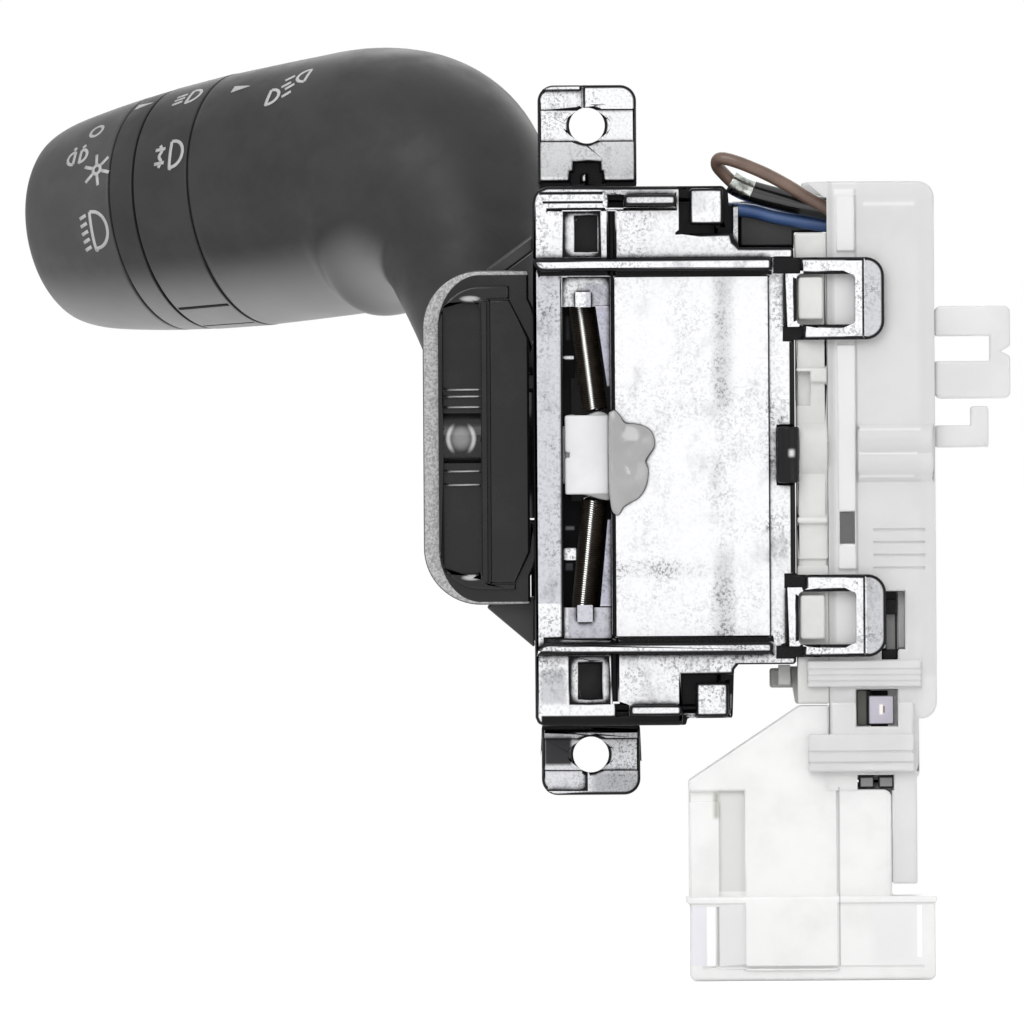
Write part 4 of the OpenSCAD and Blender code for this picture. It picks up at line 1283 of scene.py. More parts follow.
@dataclass
class Stalk:
    """The stalk's soft-touch skin, its rotary rings and knob, and the marks printed on them.

    Attributes:
        bend_radius_mm: radius of the bend's centre line.
        corner_mm: distance from the rings to where the two straight parts would meet.
        neck_end_mm: the point that the neck runs to.
        overrun_mm: how far the neck passes that point.
        flat_y_mm: the level at which the neck ends flat.
        stations_mm: pairs of length along the centre line and radius, up to the bend.
        bend_radii_mm: the radii at equal steps through the bend.
        neck_mm: pairs of length past the bend and radius.
        end_radius_mm: the radius at the neck's end.
        rows: rings of points along the skin.
        columns: points round the skin.
        shrink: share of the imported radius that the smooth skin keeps, so that it stays inside.
        fog_outline_mm: the fog ring's section, as pairs of radius and place along the axis.
        band_outline_mm: the index band's section.
        knob_inside_mm: the inner part of the light knob's section.
        knob_skin_mm: the outer part of the light knob's section.
        print_proud_mm: how far the marks stand above the surface.
        print_deep_mm: how far the marks and seams reach under the surface.
    """

    bend_radius_mm: float = 18.0
    corner_mm: float = 26.7
    neck_end_mm: tuple[float, float, float] = (-8.5, 10.0, -1.75)
    overrun_mm: float = 1.5
    flat_y_mm: float = 10.4
    stations_mm: tuple[tuple[float, float], ...] = ((0.15, 15.12), (5.0, 15.3), (9.5, 15.45))
    bend_radii_mm: tuple[float, ...] = (15.6, 15.75, 15.9, 16.0, 15.8, 15.2, 14.2, 12.9, 11.5, 10.1)
    neck_mm: tuple[tuple[float, float], ...] = ((4.0, 9.1), (9.0, 8.2), (15.0, 7.4), (21.0, 6.5), (26.0, 5.5))
    end_radius_mm: float = 4.6
    rows: int = 110
    columns: int = 112
    shrink: float = 0.997
    fog_outline_mm: tuple[tuple[float, float], ...] = (
        (6.55, 2.0), (12.9, 2.0), (12.9, 0.15), (15.12, 0.15), (14.5, 8.15), (12.6, 8.15), (12.6, 3.6),
        (8.2, 3.6), (8.2, 6.5), (6.55, 6.5))
    band_outline_mm: tuple[tuple[float, float], ...] = (
        (6.52, 9.2), (12.3, 9.2), (12.3, 8.45), (14.44, 8.45), (14.07, 11.85), (12.1, 11.85), (12.1, 10.4),
        (6.52, 10.4))
    knob_inside_mm: tuple[tuple[float, float], ...] = (
        (0.0, 27.3), (0.0, 25.6), (3.02, 25.6), (3.02, 14.6), (5.0, 14.6), (5.0, 25.2), (8.6, 25.2),
        (10.4, 23.6), (11.6, 16.7), (12.0, 12.1))
    knob_skin_mm: tuple[tuple[float, float], ...] = (
        (14.03, 12.35), (13.45, 16.7), (12.55, 22.0), (11.6, 25.0), (10.6, 26.3), (9.4, 26.95), (8.0, 27.25))
    print_proud_mm: float = 0.035
    print_deep_mm: float = 0.08

    def bend(self) -> tuple[np.ndarray, np.ndarray, float]:
        """The neck's direction, the direction into the bend and the angle of the bend."""
        corner = StalkAxis.start - StalkAxis.along * self.corner_mm * MM
        neck = unit(np.array(self.neck_end_mm) * MM - corner)
        inward = unit(neck - StalkAxis.along * (StalkAxis.along @ neck))
        return neck, inward, float(np.arccos(-StalkAxis.along @ neck))

    def skin_points(self) -> np.ndarray:
        """Rings of points from the rotary rings through the bend to the flat end of the neck.

        The centre line is start - along * straight, plus radius (-sin along, 1 - cos inward) of the
        turned angle, plus neck * rest. Each ring is centre + radius (cos side + sin across) with side
        square to the bend's plane. The last rings are moved along the neck to the flat level or to
        the neck's end, whichever comes first.
        """
        neck, inward, angle = self.bend()
        tangent_mm = self.bend_radius_mm * math.tan(angle / 2)
        straight_mm = self.corner_mm - tangent_mm
        arc_mm = self.bend_radius_mm * angle
        corner = StalkAxis.start - StalkAxis.along * self.corner_mm * MM
        rest_mm = float(np.linalg.norm(np.array(self.neck_end_mm) * MM - corner)) / MM - tangent_mm
        end_mm = straight_mm + arc_mm + rest_mm + self.overrun_mm
        places = [s for s, _ in self.stations_mm]
        places += list(straight_mm + arc_mm * np.linspace(0, 1, len(self.bend_radii_mm)))
        places += [straight_mm + arc_mm + t for t, _ in self.neck_mm] + [end_mm]
        radii = [r for _, r in self.stations_mm] + list(self.bend_radii_mm)
        radii += [r for _, r in self.neck_mm] + [self.end_radius_mm]
        length = np.linspace(places[0], end_mm - 9.5, self.rows)
        turned = np.clip((length - straight_mm) / self.bend_radius_mm, 0.0, angle)[:, None]
        rest = np.clip(length - straight_mm - arc_mm, 0.0, None)[:, None]
        along = StalkAxis.along
        center = (StalkAxis.start - along * np.clip(length, 0.0, straight_mm)[:, None] * MM
                  + self.bend_radius_mm * MM * (-np.sin(turned) * along + (1 - np.cos(turned)) * inward)
                  + rest * MM * neck)
        heading = -np.cos(turned) * StalkAxis.along + np.sin(turned) * inward
        side = unit(np.cross(-StalkAxis.along, inward))
        across = np.cross(heading, side)
        turn = np.linspace(0.0, 2 * np.pi, self.columns, endpoint=False)[None, :, None]
        radius = smooth_values(length, places, radii) * self.shrink * MM
        spokes = np.cos(turn) * side + np.sin(turn) * across[:, None]
        rings = center[:, None] + radius[:, None, None] * spokes
        last = rings[-1]
        to_flat = (self.flat_y_mm * MM - last[:, 1]) / neck[1]
        to_end = (np.array(self.neck_end_mm) * MM + self.overrun_mm * MM * neck - last) @ neck
        reach = np.minimum(to_flat, to_end)[:, None]
        middle = center[-1] + neck * float(to_end.mean())
        inwards = middle - last - neck * ((middle - last) @ neck)[:, None]
        tail = [last + neck * reach * share + inwards * share * 0.22 for share in (0.33, 0.66, 1.0)]
        return np.concatenate([rings, np.stack(tail)])

    def make_skin(self) -> None:
        """Makes the skin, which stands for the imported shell."""
        rings = self.skin_points()
        gap = rings[:1] * 0.985 + rings[:1].mean(axis=1, keepdims=True) * 0.015
        rim = np.concatenate([gap, rings])
        skin = Piece.grid("stalk_skin", rim)
        Piece.dress(skin, "stalk", Body.STALK, "stalk_grey", ["stalk_shell"])

    def make_rings(self) -> None:
        """Makes the fog ring, the index band and the light knob with rounded edges."""
        fog = StalkAxis.revolve("fog_ring_skin", rounded(self.fog_outline_mm, 0.28))
        Piece.dress(fog, "stalk", Body.FOG, "ring_grey", ["fog_ring"])
        band = StalkAxis.revolve("index_band_skin", rounded(self.band_outline_mm, 0.22))
        Piece.dress(band, "stalk", Body.STALK, "band_grey", ["index_band"])
        skin = smooth_path([(r, s, 0.0) for r, s in self.knob_skin_mm], 40)[:, :2] / MM
        lip = arc((13.78, 12.35), (0.25, 0.25), -90, 0, 5)
        outline = np.vstack([self.knob_inside_mm, lip[:-1], skin])
        knob = StalkAxis.revolve("light_knob_skin", outline)
        Piece.dress(knob, "knob", Body.LIGHT, "knob_grey", ["light_knob"])

    def surface_mm(self, s_mm: np.ndarray) -> np.ndarray:
        """The outer radius at a distance along the stalk."""
        back = [(-s, r) for s, r in reversed(self.stations_mm)]
        rings = [(0.15, 15.12), (8.15, 14.5), (8.45, 14.44), (11.85, 14.07)]
        knob = [(s, r) for r, s in self.knob_skin_mm]
        table = np.array([(-25.0, 15.7), *back[:-1], *rings, *knob])
        return np.interp(s_mm, table[:, 0], table[:, 1])

    def ribbon(self, s_mm: np.ndarray, rise_mm: np.ndarray, angle_deg: float, width_mm: float,
               proud_mm: float) -> np.ndarray:
        """A flat stroke laid on the stalk.

        Each point of the centre line becomes four: half a width to the left and right of the line's
        direction, once proud of the surface and once just under it. A height on the flat drawing
        becomes an angle of height over radius.

        Args:
            s_mm: the places along the stalk.
            rise_mm: the heights above the mark's middle, measured round the stalk.
            angle_deg: the angle of the mark's middle.
            width_mm: the stroke's width.
            proud_mm: how far it stands above the surface.

        Returns:
            The grid of points, four round the stroke.
        """
        line = np.column_stack([s_mm, rise_mm])
        way = unit(np.gradient(line, axis=0))
        normal = np.column_stack([-way[:, 1], way[:, 0]]) * width_mm / 2
        sides = np.stack([line + normal, line - normal, line - normal, line + normal], axis=1)
        radius = self.surface_mm(sides[..., 0])
        height = np.array([proud_mm, proud_mm, -self.print_deep_mm, -self.print_deep_mm])[None, :]
        angle = math.radians(angle_deg) + sides[..., 1] / radius
        return StalkAxis.at(sides[..., 0], angle, radius + height)

    def print_mark(self, mark: Mark, body: Body, slot: str) -> None:
        """Prints one mark as a single piece.

        Args:
            mark: the mark.
            body: the body it is printed on.
            slot: the record slot of what carries it.
        """
        s0, angle, size = mark.value
        grids = []
        if mark.is_index():
            base = np.linspace(-1.25, 1.25, 9)
            grids.append(self.triangle(s0, angle, base))
        for stroke in mark.strokes():
            fine = smooth_path(np.column_stack([stroke, np.zeros(len(stroke))]), 4 * len(stroke))[:, :2] / MM
            fine = stroke if len(stroke) == 2 else fine
            places, rises = s0 + size * fine[:, 0], size * fine[:, 1]
            grids.append(self.ribbon(places, rises, angle, 0.42, self.print_proud_mm))
        piece = Piece.merged(f"mark_{mark.name.lower()}", grids)
        Piece.dress(piece, "print", body, slot)

    def triangle(self, s0: float, angle_deg: float, base: np.ndarray) -> np.ndarray:
        """A filled triangle as stacked cross strokes, each narrower than the one before.

        Args:
            s0: the place of its middle along the stalk.
            angle_deg: the angle of its middle.
            base: the places along it, from its base to its point.

        Returns:
            The grid of points, four round each cross stroke.
        """
        half = 0.62 * (base.max() - base) / np.ptp(base) + 0.02
        corners = np.stack([np.column_stack([s0 - base, half * sign]) for sign in (1, -1, -1, 1)], axis=1)
        radius = self.surface_mm(corners[..., 0])
        proud, deep = self.print_proud_mm, -self.print_deep_mm
        angle = math.radians(angle_deg) + corners[..., 1] / radius
        return StalkAxis.at(corners[..., 0], angle, radius + np.array([proud, proud, deep, deep])[None, :])

    def make_seams(self) -> None:
        """Makes the dark seams beside the small panel on the fog ring's underside."""
        across = np.linspace(0.5, 7.8, 12)
        grids = [self.ribbon(across, np.zeros(12), angle, width, 0.02)
                 for angle, width in ((-52.0, 0.5), (-73.0, 0.3))]
        Piece.dress(Piece.merged("fog_ring_seams", grids), "gap", Body.FOG, "ring_grey")

    def build(self) -> None:
        """Builds the whole stalk."""
        self.make_skin()
        self.make_rings()
        self.make_seams()
        carriers = {Mark.DIPPED_BEAM: (Body.LIGHT, "knob_grey"), Mark.SIDE_LIGHTS: (Body.LIGHT, "knob_grey"),
                    Mark.PARKING: (Body.LIGHT, "knob_grey"), Mark.OFF_RING: (Body.LIGHT, "knob_grey"),
                    Mark.FOG_REAR: (Body.FOG, "ring_grey"), Mark.FOG_FRONT: (Body.FOG, "ring_grey"),
                    Mark.PAIR: (Body.STALK, "stalk_grey"), Mark.BAND_INDEX: (Body.STALK, "band_grey"),
                    Mark.SHELL_INDEX: (Body.STALK, "stalk_grey")}
        for mark, (body, slot) in carriers.items():
            self.print_mark(mark, body, slot)


@dataclass
class Holder:
    """The lever holder behind the open side of the frame: a guard plate with a grained rim.

    Attributes:
        edge_mm: the width of its rounded edges.
    """

    edge_mm: float = 0.28

    def build(self) -> None:
        """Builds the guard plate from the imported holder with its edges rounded."""
        plate = Piece.soften("lever_holder", "guard_plate", self.edge_mm)
        Piece.dress(plate, "holder", Body.TURN, "holder_black", ["lever_holder"])


@dataclass
class Coil:
    """One close-wound centring spring between a fixed anchor and the return block.

    Attributes:
        name: the piece's name.
        fixed_mm: the end that is hooked on the housing.
        moved_mm: the end that is hooked on the return block.
        node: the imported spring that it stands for.
        outer_mm: the outer radius of the coil.
        wire_mm: the radius of the wire.
        turns: the number of turns.
        hook_mm: the length of the straight hook at each end.
        steps: points along one turn.
    """

    name: str
    fixed_mm: tuple[float, float, float]
    moved_mm: tuple[float, float, float]
    node: str
    outer_mm: float = 1.5
    wire_mm: float = 0.125
    turns: int = 52
    hook_mm: float = 0.6
    steps: int = 20

    def path(self) -> np.ndarray:
        """The wire's centre line.

        It is start + axis * length + radius (cos, sin) of the turned angle across the axis. Along the
        hooks the radius shrinks to nothing while the angle stands still.
        """
        start, end = np.array(self.fixed_mm) * MM, np.array(self.moved_mm) * MM
        axis = unit(end - start)
        side = unit(np.cross(axis, [0.0, 1.0, 0.0]))
        across = np.cross(axis, side)
        count = self.turns * self.steps
        hook = self.hook_mm * MM
        body_length = float(np.linalg.norm(end - start)) - 2 * hook
        on_hook = np.linspace(0.1, 0.9, 6) * hook
        along = np.concatenate([on_hook, hook + np.linspace(0, body_length, count + 1),
                                hook + body_length + on_hook])
        turned = np.concatenate([np.zeros(6), np.linspace(0, 2 * np.pi * self.turns, count + 1), np.zeros(6)])
        share = np.concatenate([np.linspace(0.05, 0.9, 6), np.ones(count + 1), np.linspace(0.9, 0.05, 6)])
        radius = share * (self.outer_mm - self.wire_mm) * MM
        return (start + along[:, None] * axis
                + radius[:, None] * (np.cos(turned)[:, None] * side + np.sin(turned)[:, None] * across))

    def build(self) -> None:
        """Builds the coil in place, on no body."""
        path = self.path()
        axis = unit(np.array(self.moved_mm) - np.array(self.fixed_mm))
        coil = Piece.tube(self.name, path, self.wire_mm * MM, axis, 7)
        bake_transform(coil)
        Piece.dress(coil, "steel", None, "spring_steel", [self.node])


@dataclass
class Lead:
    """One wire or sleeve held at both ends.

    Attributes:
        name: the piece's name.
        points_mm: the points that it runs through.
        radius_mm: its radius.
        finish: a key of Finish.RECIPES.
        slot: its record slot.
        node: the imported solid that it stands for.
        UP: a direction that no lead takes.
    """

    UP: ClassVar[tuple[float, float, float]] = (0.0, 1.0, 0.02)

    name: str
    points_mm: tuple[tuple[float, float, float], ...]
    radius_mm: float
    finish: str
    slot: str
    node: str

    def build(self) -> None:
        """Builds the lead as a round tube on a smooth path."""
        path = smooth_path(self.points_mm, 90)
        lead = Piece.tube(self.name, path, self.radius_mm * MM, self.UP, 22)
        Piece.dress(lead, self.finish, Body.HOUSING, self.slot, [self.node])


@dataclass
class Flat:
    """A small flat piece on the housing.

    Attributes:
        name: the piece's name.
        outline_mm: its outline as pairs of X and Z.
        y_mm: its front and its back along Y.
        finish: a key of Finish.RECIPES.
        slot: its record slot.
    """

    name: str
    outline_mm: tuple[tuple[float, float], ...]
    y_mm: tuple[float, float]
    finish: str
    slot: str

    def build(self) -> None:
        """Builds the piece."""
        Piece.dress(Piece.prism(self.name, self.outline_mm, self.y_mm), self.finish, Body.HOUSING, self.slot)


def oblong(left: float, right: float, low: float, high: float) -> tuple[tuple[float, float], ...]:
    """The corners of a rectangle of the XZ plane."""
    return ((left, low), (right, low), (right, high), (left, high))


@dataclass
class Housing:
    """The bright frame, the black rear case, the springs, the grease and the leads.

    Attributes:
        frame_edge_mm: the width of the frame's dark rounded edges.
        case_edge_mm: the width of the rear case's rounded edges.
        shells: node, copy's name, width of the rounded edges, finish, body and slot of the rest.
        leads: the wires and the sleeve.
        coils: the centring springs.
        slot: the dark sheets of painted shade over the slot's floor and behind the return block and the
            holder's ear, the slanting walls, the pegs, and the lids over the springs' ends.
        sleeve_end_mm: the points that the sleeve's metal end runs through.
        grease_mm: the outline of the grease beside the return block.
        fringe_mm: the outline of the smear along the block's upper end.
        drip_mm: the outline of the smear along its lower end.
        lobes_mm: X, Z, height and spread of the lobes of the grease.
    """

    frame_edge_mm: float = 0.42
    case_edge_mm: float = 0.3
    shells: tuple[tuple[str, str, float, str, Body, str], ...] = (
        ("case_screws", "case_screw_heads", 0.15, "pin", Body.HOUSING, "screw_steel"),
        ("stop_pin", "stop_pin_bar", 0.25, "stop", Body.HOUSING, "stop_black"),
        ("return_block", "return_block_body", 0.25, "block", Body.RETURN, "block_white"),
    )
    leads: tuple[Lead, ...] = (
        Lead("brown_lead", ((17.05, 1.85, 30.25), (16.2, 1.5, 31.1), (15.3, 0.5, 32.2), (15.6, -0.6, 33.0),
                            (17.3, -1.0, 32.7), (20.3, -1.0, 31.5), (23.2, -1.0, 30.0), (25.8, -0.8, 28.4),
                            (28.1, -0.45, 27.1), (30.2, -0.4, 25.8)), 0.755, "brown", "wire_brown",
             "wire_brown"),
        Lead("blue_lead", ((14.5, 3.25, 27.0), (17.0, 3.25, 27.05), (19.5, 3.25, 26.8), (21.8, 3.25, 26.2),
                           (25.0, 3.25, 25.6), (27.9, 3.25, 25.15), (30.0, 3.2, 25.0)), 0.835, "blue",
             "wire_blue", "wire_blue"),
        Lead("shiny_sleeve", ((17.5, 1.9, 29.95), (19.5, 1.9, 29.1), (23.8, 1.9, 27.95), (27.9, 1.9, 27.1),
                              (30.0, 1.9, 26.85)), 1.37, "sleeve", "sleeve_black", "wire_sleeve"),
    )
    coils: tuple[Coil, ...] = (
        Coil("upper_coil", (-0.95, -0.6, 17.0), (0.75, -0.6, 2.95), "spring_upper"),
        Coil("lower_coil", (-0.85, -0.6, -21.1), (0.65, -0.6, -6.45), "spring_lower"),
    )
    slot: tuple[Flat, ...] = (
        # painted shade: black sheets that darken the slot and close gaps; the slot's sheets carry painted
        # glints
        Flat("slot_shade_sheet_upper", oblong(-3.1, -1.6, 7.3, 15.7), (1.36, 1.62), "slot", "case_black"),
        Flat("slot_shade_sheet_lower", oblong(-3.15, 2.9, -22.9, -7.2), (1.36, 1.62), "slot", "case_black"),
        Flat("slot_wall_upper", ((0.85, 15.75), (2.62, 15.75), (2.62, 6.3), (2.18, 6.3)), (-3.4, -2.5),
             "frame", "frame_metal"),
        Flat("slot_wall_lower", ((2.15, -9.4), (2.62, -9.4), (2.62, -19.55), (1.2, -19.55)), (-3.4, -2.5),
             "frame", "frame_metal"),
        Flat("shade_sheet_behind_block", oblong(-3.15, -2.2, -7.2, 7.3), (1.36, 1.62), "gap", "case_black"),
        Flat("shade_sheet_behind_ear", oblong(-6.9, -5.7, -18.8, -14.4), (8.95, 9.15), "gap", "case_black"),
        Flat("anchor_lid_upper", oblong(-1.5, 0.3, 15.62, 17.4), (-3.98, -3.2), "frame", "anchor_grey"),
        Flat("anchor_lid_lower", oblong(-1.5, 0.3, -21.4, -19.42), (-3.98, -3.2), "frame", "anchor_grey"),
        Flat("slot_peg_upper", oblong(-3.2, -1.75, 9.55, 9.85), (-3.3, -2.5), "frame", "frame_metal"),
        Flat("slot_peg_lower", oblong(-3.2, -1.65, -14.1, -12.75), (-3.3, -2.5), "frame", "frame_metal"),
    )
    sleeve_end_mm: tuple[tuple[float, float, float], ...] = (
        (16.95, 1.9, 30.35), (18.2, 1.9, 29.62), (19.4, 1.9, 29.13))
    grease_mm: tuple[tuple[float, float], ...] = (
        (2.35, 3.2), (3.0, 3.5), (3.7, 2.7), (4.25, 1.95), (5.35, 1.85), (6.7, 1.45), (7.5, 0.6),
        (7.65, -0.75), (7.0, -1.8), (6.6, -2.6), (6.95, -3.6), (6.65, -5.4), (5.85, -6.75), (4.75, -7.4),
        (3.95, -7.95), (3.3, -8.9), (2.6, -8.2), (2.35, -6.0), (2.3, -2.5), (2.3, 1.0))
    fringe_mm: tuple[tuple[float, float], ...] = (
        (-2.85, 1.75), (-2.8, 2.75), (-1.9, 3.0), (-0.9, 2.7), (0.2, 3.1), (1.2, 3.35), (2.2, 3.0),
        (2.75, 2.2), (2.7, 1.4), (2.0, 1.2), (0.0, 1.5), (-2.0, 1.5))
    drip_mm: tuple[tuple[float, float], ...] = (
        (-1.2, -6.35), (0.0, -6.6), (1.2, -6.95), (2.2, -7.1), (2.75, -6.6), (2.8, -5.6), (2.5, -5.4),
        (1.6, -6.0), (0.0, -6.1))
    lobes_mm: tuple[tuple[float, float, float, float], ...] = (
        (5.9, -0.2, 0.6, 2.4), (5.0, -4.8, 0.5, 2.6), (3.6, -2.2, 0.15, 3.0))

    def blob(self, name: str, outline_mm: Sequence[tuple[float, float]], floor_mm: float, rise_mm: float,
             lobes_mm: Sequence[tuple[float, float, float, float]], body: Body) -> None:
        """Makes one blob of grease: a dome over a smooth closed outline.

        Ring t is the outline drawn in to its middle by sin(t). It stands in front of the floor by the
        rise times cos(t) to the power 0.45, and the rise grows by height exp(-d^2 / spread) round each
        lobe, where d is the distance from the lobe's middle.

        Args:
            name: the piece's name.
            outline_mm: the outline as pairs of X and Z.
            floor_mm: the level along Y that it lies on.
            rise_mm: how far its middle stands in front of the floor.
            lobes_mm: X, Z, height and spread of each lobe.
            body: the body that it rides on.
        """
        corners = np.asarray(outline_mm, float)
        looped = np.vstack([corners, corners[:1]])
        flat = smooth_path(np.column_stack([looped, np.zeros(len(looped))]), 97)[:-1, :2] / MM
        middle = flat.mean(axis=0)
        t = np.linspace(0.02, 1.0, 22)[:, None] * np.pi / 2
        x = middle[0] + (flat[:, 0] - middle[0])[None, :] * np.sin(t)
        z = middle[1] + (flat[:, 1] - middle[1])[None, :] * np.sin(t)
        rise = rise_mm + sum(high * np.exp(-((x - x0) ** 2 + (z - z0) ** 2) / spread)
                             for x0, z0, high, spread in lobes_mm)
        y = floor_mm - rise * np.cos(t) ** 0.45
        drop = Piece.grid(name, np.stack(np.broadcast_arrays(x, y, z), -1) * MM)
        Piece.dress(drop, "grease", body, "block_white")

    def make_grease(self) -> None:
        """Makes the lobed blob of grease beside the return block and the smears along its ends."""
        self.blob("grease", self.grease_mm, -4.28, 0.7, self.lobes_mm, Body.HOUSING)
        self.blob("grease_fringe", self.fringe_mm, -2.9, 0.55, (), Body.RETURN)
        self.blob("grease_drip", self.drip_mm, -2.9, 0.5, (), Body.RETURN)

    @staticmethod
    def in_window_corner(point: Vector) -> bool:
        """Whether a point lies in a rounded corner of a strap loop's window."""
        sides = (24.5, 31.35)
        ends = (13.4, 19.3, -24.2, -18.0)
        reach = 0.52
        near_side = min(abs(point.x / MM - side) for side in sides) < reach
        return near_side and min(abs(point.z / MM - end) for end in ends) < reach

    def build(self) -> None:
        """Builds the frame, the rear case, the springs, the leads, the slot and the grease."""
        bright = Piece.soften("frame", "bright_frame", self.frame_edge_mm, cuts_mm=(0.0, 27.0, 30.0),
                              joined=lambda point: abs(point.z) > 0.029 or point.x > 0.0269,
                              plain=self.in_window_corner)
        Piece.dress(bright, "frame", Body.HOUSING, "frame_metal", ["frame"])
        case = Piece.soften("rear_case", "rear_case_shell", self.case_edge_mm)
        Piece.dress(case, "case", Body.HOUSING, "case_black", ["rear_case"])
        for node, name, width_mm, finish, body, slot in self.shells:
            Piece.dress(Piece.soften(node, name, width_mm), finish, body, slot, [node])
        for part in (*self.coils, *self.leads):
            part.build()
        shine = Piece.tube("sleeve_end", smooth_path(self.sleeve_end_mm, 30), 1.39 * MM, Lead.UP, 24)
        Piece.dress(shine, "shine", Body.HOUSING, "sleeve_black")
        for part in self.slot:
            part.build()
        self.make_grease()


@dataclass
class ContactUnit:
    """The contact unit beside the frame: base, translucent cover, clip and plug socket.

    Attributes:
        edge_mm: the width of the rounded edges.
        tab_edge_mm: the width of the terminal tabs' rounded edges.
        shells: the node, the copy's name, the finish and the slot of each shell.
        fillers: the small flat pieces between them.
    """

    edge_mm: float = 0.3
    tab_edge_mm: float = 0.12
    shells: tuple[tuple[str, str, str, str], ...] = (
        ("switch_base", "switch_base_body", "base", "base_white"),
        ("cover", "cover_shell", "cover", "cover_clear"),
        ("column_clip", "column_clip_body", "clip", "cover_clear"),
        ("plug_socket", "plug_socket_shell", "socket", "socket_milky"),
        ("terminal_carrier", "terminal_carrier_block", "base", "carrier_white"),
        ("terminal_tabs", "terminal_tab_set", "dark", "terminal_dark"),
    )
    fillers: tuple[Flat, ...] = (
        Flat("socket_step", oblong(27.6, 31.3, -41.4, -38.4), (-3.05, -2.4), "socket", "socket_milky"),
        Flat("contact_web", oblong(32.9, 34.1, -41.3, -39.3), (1.05, 1.4), "gap", "terminal_dark"),
        Flat("base_lug", oblong(22.1, 23.5, -28.9, -26.6), (0.0, 4.4), "base", "base_white"),
    )

    def build(self) -> None:
        """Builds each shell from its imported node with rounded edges, then the fillers."""
        for node, name, finish, slot in self.shells:
            width_mm = self.tab_edge_mm if finish == "dark" else self.edge_mm
            Piece.dress(Piece.soften(node, name, width_mm), finish, Body.HOUSING, slot, [node])
        for filler in self.fillers:
            filler.build()


@dataclass
class Inside:
    """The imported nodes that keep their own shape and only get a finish.

    Attributes:
        finishes: pairs of finish and nodes.
    """

    finishes: tuple[tuple[str, tuple[str, ...]], ...] = (
        ("pin", ("pivot_pin", "dimmer_pin")),
        ("dark", ("detent_plate", "detent_plunger")),
        ("steel", ("detent_spring",)),
        ("holder", ("stalk_hinge",)),
        ("gap", ("rotary_core", "light_rotor")),
        ("frame", ("spring_anchors",)),
        ("brass", ("contact_disc", "moving_contact", "socket_blades")),
        ("board", ("contact_board",)),
        ("base", ("contact_carriage",)),
    )

    def build(self) -> None:
        """Gives every node its finish."""
        for finish, nodes in self.finishes:
            for name in nodes:
                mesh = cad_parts[name].data
                mesh.materials.clear()
                mesh.materials.append(Finish.get(finish))
                LOG.info("%s keeps its shape, %s", name, finish)


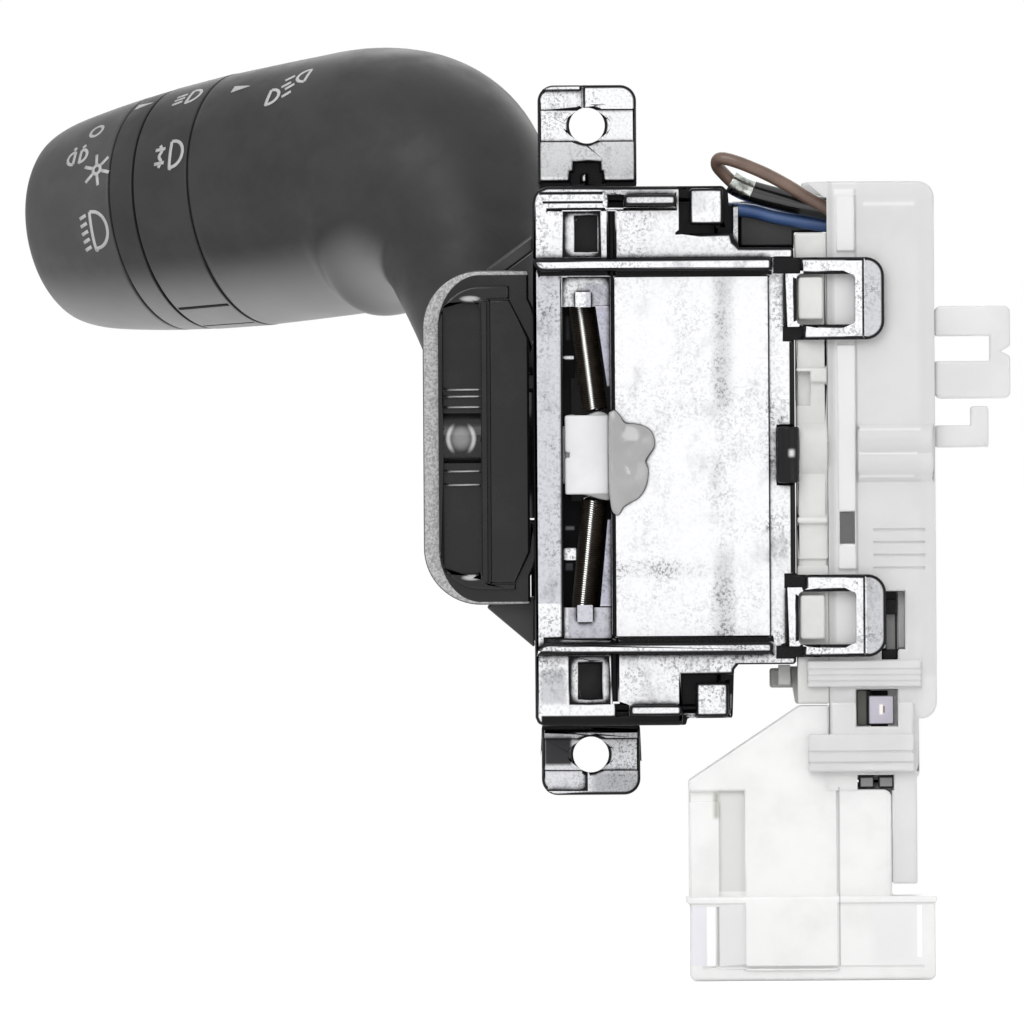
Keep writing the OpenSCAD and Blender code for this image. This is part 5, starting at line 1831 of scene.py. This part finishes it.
@dataclass
class Studio:
    """Pale floor, white surroundings, soft lamps and the camera.

    Attributes:
        floor_z_mm: the floor's level, just under the plug socket.
        distance_mm: how far in front of the mounting face the camera stands.
        middle_mm: the point of the XZ plane at the picture's middle.
        view_mm: the width of the picture at the mounting face.
        roll_deg: the camera's turn about its own axis.
        sensor_mm: the width of the camera's sensor.
    """

    floor_z_mm: float = -63.75
    distance_mm: float = 5000.0
    middle_mm: tuple[float, float] = (-9.11, -8.41)
    view_mm: float = 120.47
    roll_deg: float = 0.372
    sensor_mm: float = 36.0

    def make_camera(self) -> None:
        """Makes the camera: its focal length is sensor width times distance over the picture's width."""
        data = bpy.data.cameras.new("camera")
        data.sensor_width = self.sensor_mm
        data.lens = self.sensor_mm * self.distance_mm / self.view_mm
        data.clip_start = 0.05
        data.clip_end = 60.0
        camera = bpy.data.objects.new("camera", data)
        camera.location = (self.middle_mm[0] * MM, -self.distance_mm * MM, self.middle_mm[1] * MM)
        camera.rotation_euler = (math.radians(90.0), math.radians(self.roll_deg), 0.0)
        bpy.context.scene.collection.objects.link(camera)
        bpy.context.scene.camera = camera

    def lamp(self, name: str, place: Sequence[float], size: float, power: float) -> None:
        """Makes a square soft lamp that faces the object.

        Args:
            name: the lamp's name.
            place: where it stands, in metres.
            size: its side, in metres.
            power: its power, in watts.
        """
        data = bpy.data.lights.new(name, "AREA")
        data.shape = "SQUARE"
        data.size = size
        data.energy = power
        lamp = bpy.data.objects.new(name, data)
        aim = Vector((0.0, 0.01, 0.0)) - Vector(place)
        lamp.matrix_world = Matrix.Translation(place) @ aim.to_track_quat("-Z", "Y").to_matrix().to_4x4()
        bpy.context.scene.collection.objects.link(lamp)

    def make_world(self, white: float = 1.0, ambient: float = 0.55) -> None:
        """Makes white surroundings, less strong for diffuse light than for what is seen or reflected."""
        world = bpy.data.worlds.new("surroundings")
        bpy.context.scene.world = world
        world.use_nodes = True
        tree = world.node_tree
        tree.nodes.clear()
        path = tree.nodes.new("ShaderNodeLightPath")
        first = tree.nodes.new("ShaderNodeMath")
        first.operation = "MAXIMUM"
        second = tree.nodes.new("ShaderNodeMath")
        second.operation = "MAXIMUM"
        strength = tree.nodes.new("ShaderNodeMapRange")
        strength.inputs["To Min"].default_value = ambient
        strength.inputs["To Max"].default_value = white
        background = tree.nodes.new("ShaderNodeBackground")
        background.inputs["Color"].default_value = (1.0, 1.0, 1.0, 1.0)
        output = tree.nodes.new("ShaderNodeOutputWorld")
        tree.links.new(path.outputs["Is Camera Ray"], first.inputs[0])
        tree.links.new(path.outputs["Is Glossy Ray"], first.inputs[1])
        tree.links.new(first.outputs[0], second.inputs[0])
        tree.links.new(path.outputs["Is Transmission Ray"], second.inputs[1])
        tree.links.new(second.outputs[0], strength.inputs["Value"])
        tree.links.new(strength.outputs[0], background.inputs["Strength"])
        tree.links.new(background.outputs[0], output.inputs["Surface"])

    def make_floor(self, half: float = 1.0) -> None:
        """Makes the floor: pale, and lifted to white for what the camera, gloss and glass see of it."""
        corners = np.array([[-half, -half], [half, -half], [half, half], [-half, half]])
        points = np.column_stack([corners, np.full(4, self.floor_z_mm * MM)])
        mesh = bpy.data.meshes.new("floor")
        mesh.from_pydata(points, [], [(0, 1, 2, 3)])
        floor = bpy.data.objects.new("floor", mesh)
        bpy.context.scene.collection.objects.link(floor)
        graph = Graph("pale_floor")
        path = graph.node("ShaderNodeLightPath")
        seen = Value(graph, path.outputs["Is Camera Ray"]).most(Value(graph, path.outputs["Is Glossy Ray"]))
        seen = seen.most(Value(graph, path.outputs["Is Transmission Ray"]))
        soft = graph.noise(60.0, 2.0).ramp(0.3, 0.7, 0.9, 0.94)
        graph.set(Base_Color=graph.mix(soft, (0.86, 0.86, 0.86), (0.9, 0.9, 0.9)), Roughness=0.9,
                  Emission_Color=(1.0, 1.0, 1.0), Emission_Strength=seen * 0.45)
        mesh.materials.append(graph.material)

    def build(self) -> None:
        """Builds the studio."""
        self.make_camera()
        self.make_world()
        self.make_floor()
        self.lamp("key_lamp", (-0.35, -1.1, 0.75), 0.9, 9.0)
        self.lamp("fill_lamp", (0.9, -0.9, 0.1), 0.9, 3.0)
        self.lamp("back_lamp", (0.2, 1.2, 0.7), 0.9, 5.0)
        bpy.context.scene.view_settings.view_transform = "Standard"


def main() -> None:
    """Builds the switch and the studio."""
    logging.basicConfig(level=logging.INFO, format="%(name)s: %(message)s")
    for part in (Studio(), Stalk(), Holder(), Housing(), ContactUnit(), Inside()):
        part.build()
        LOG.info("built %s", type(part).__name__)


if __name__ == "__main__":
    main()
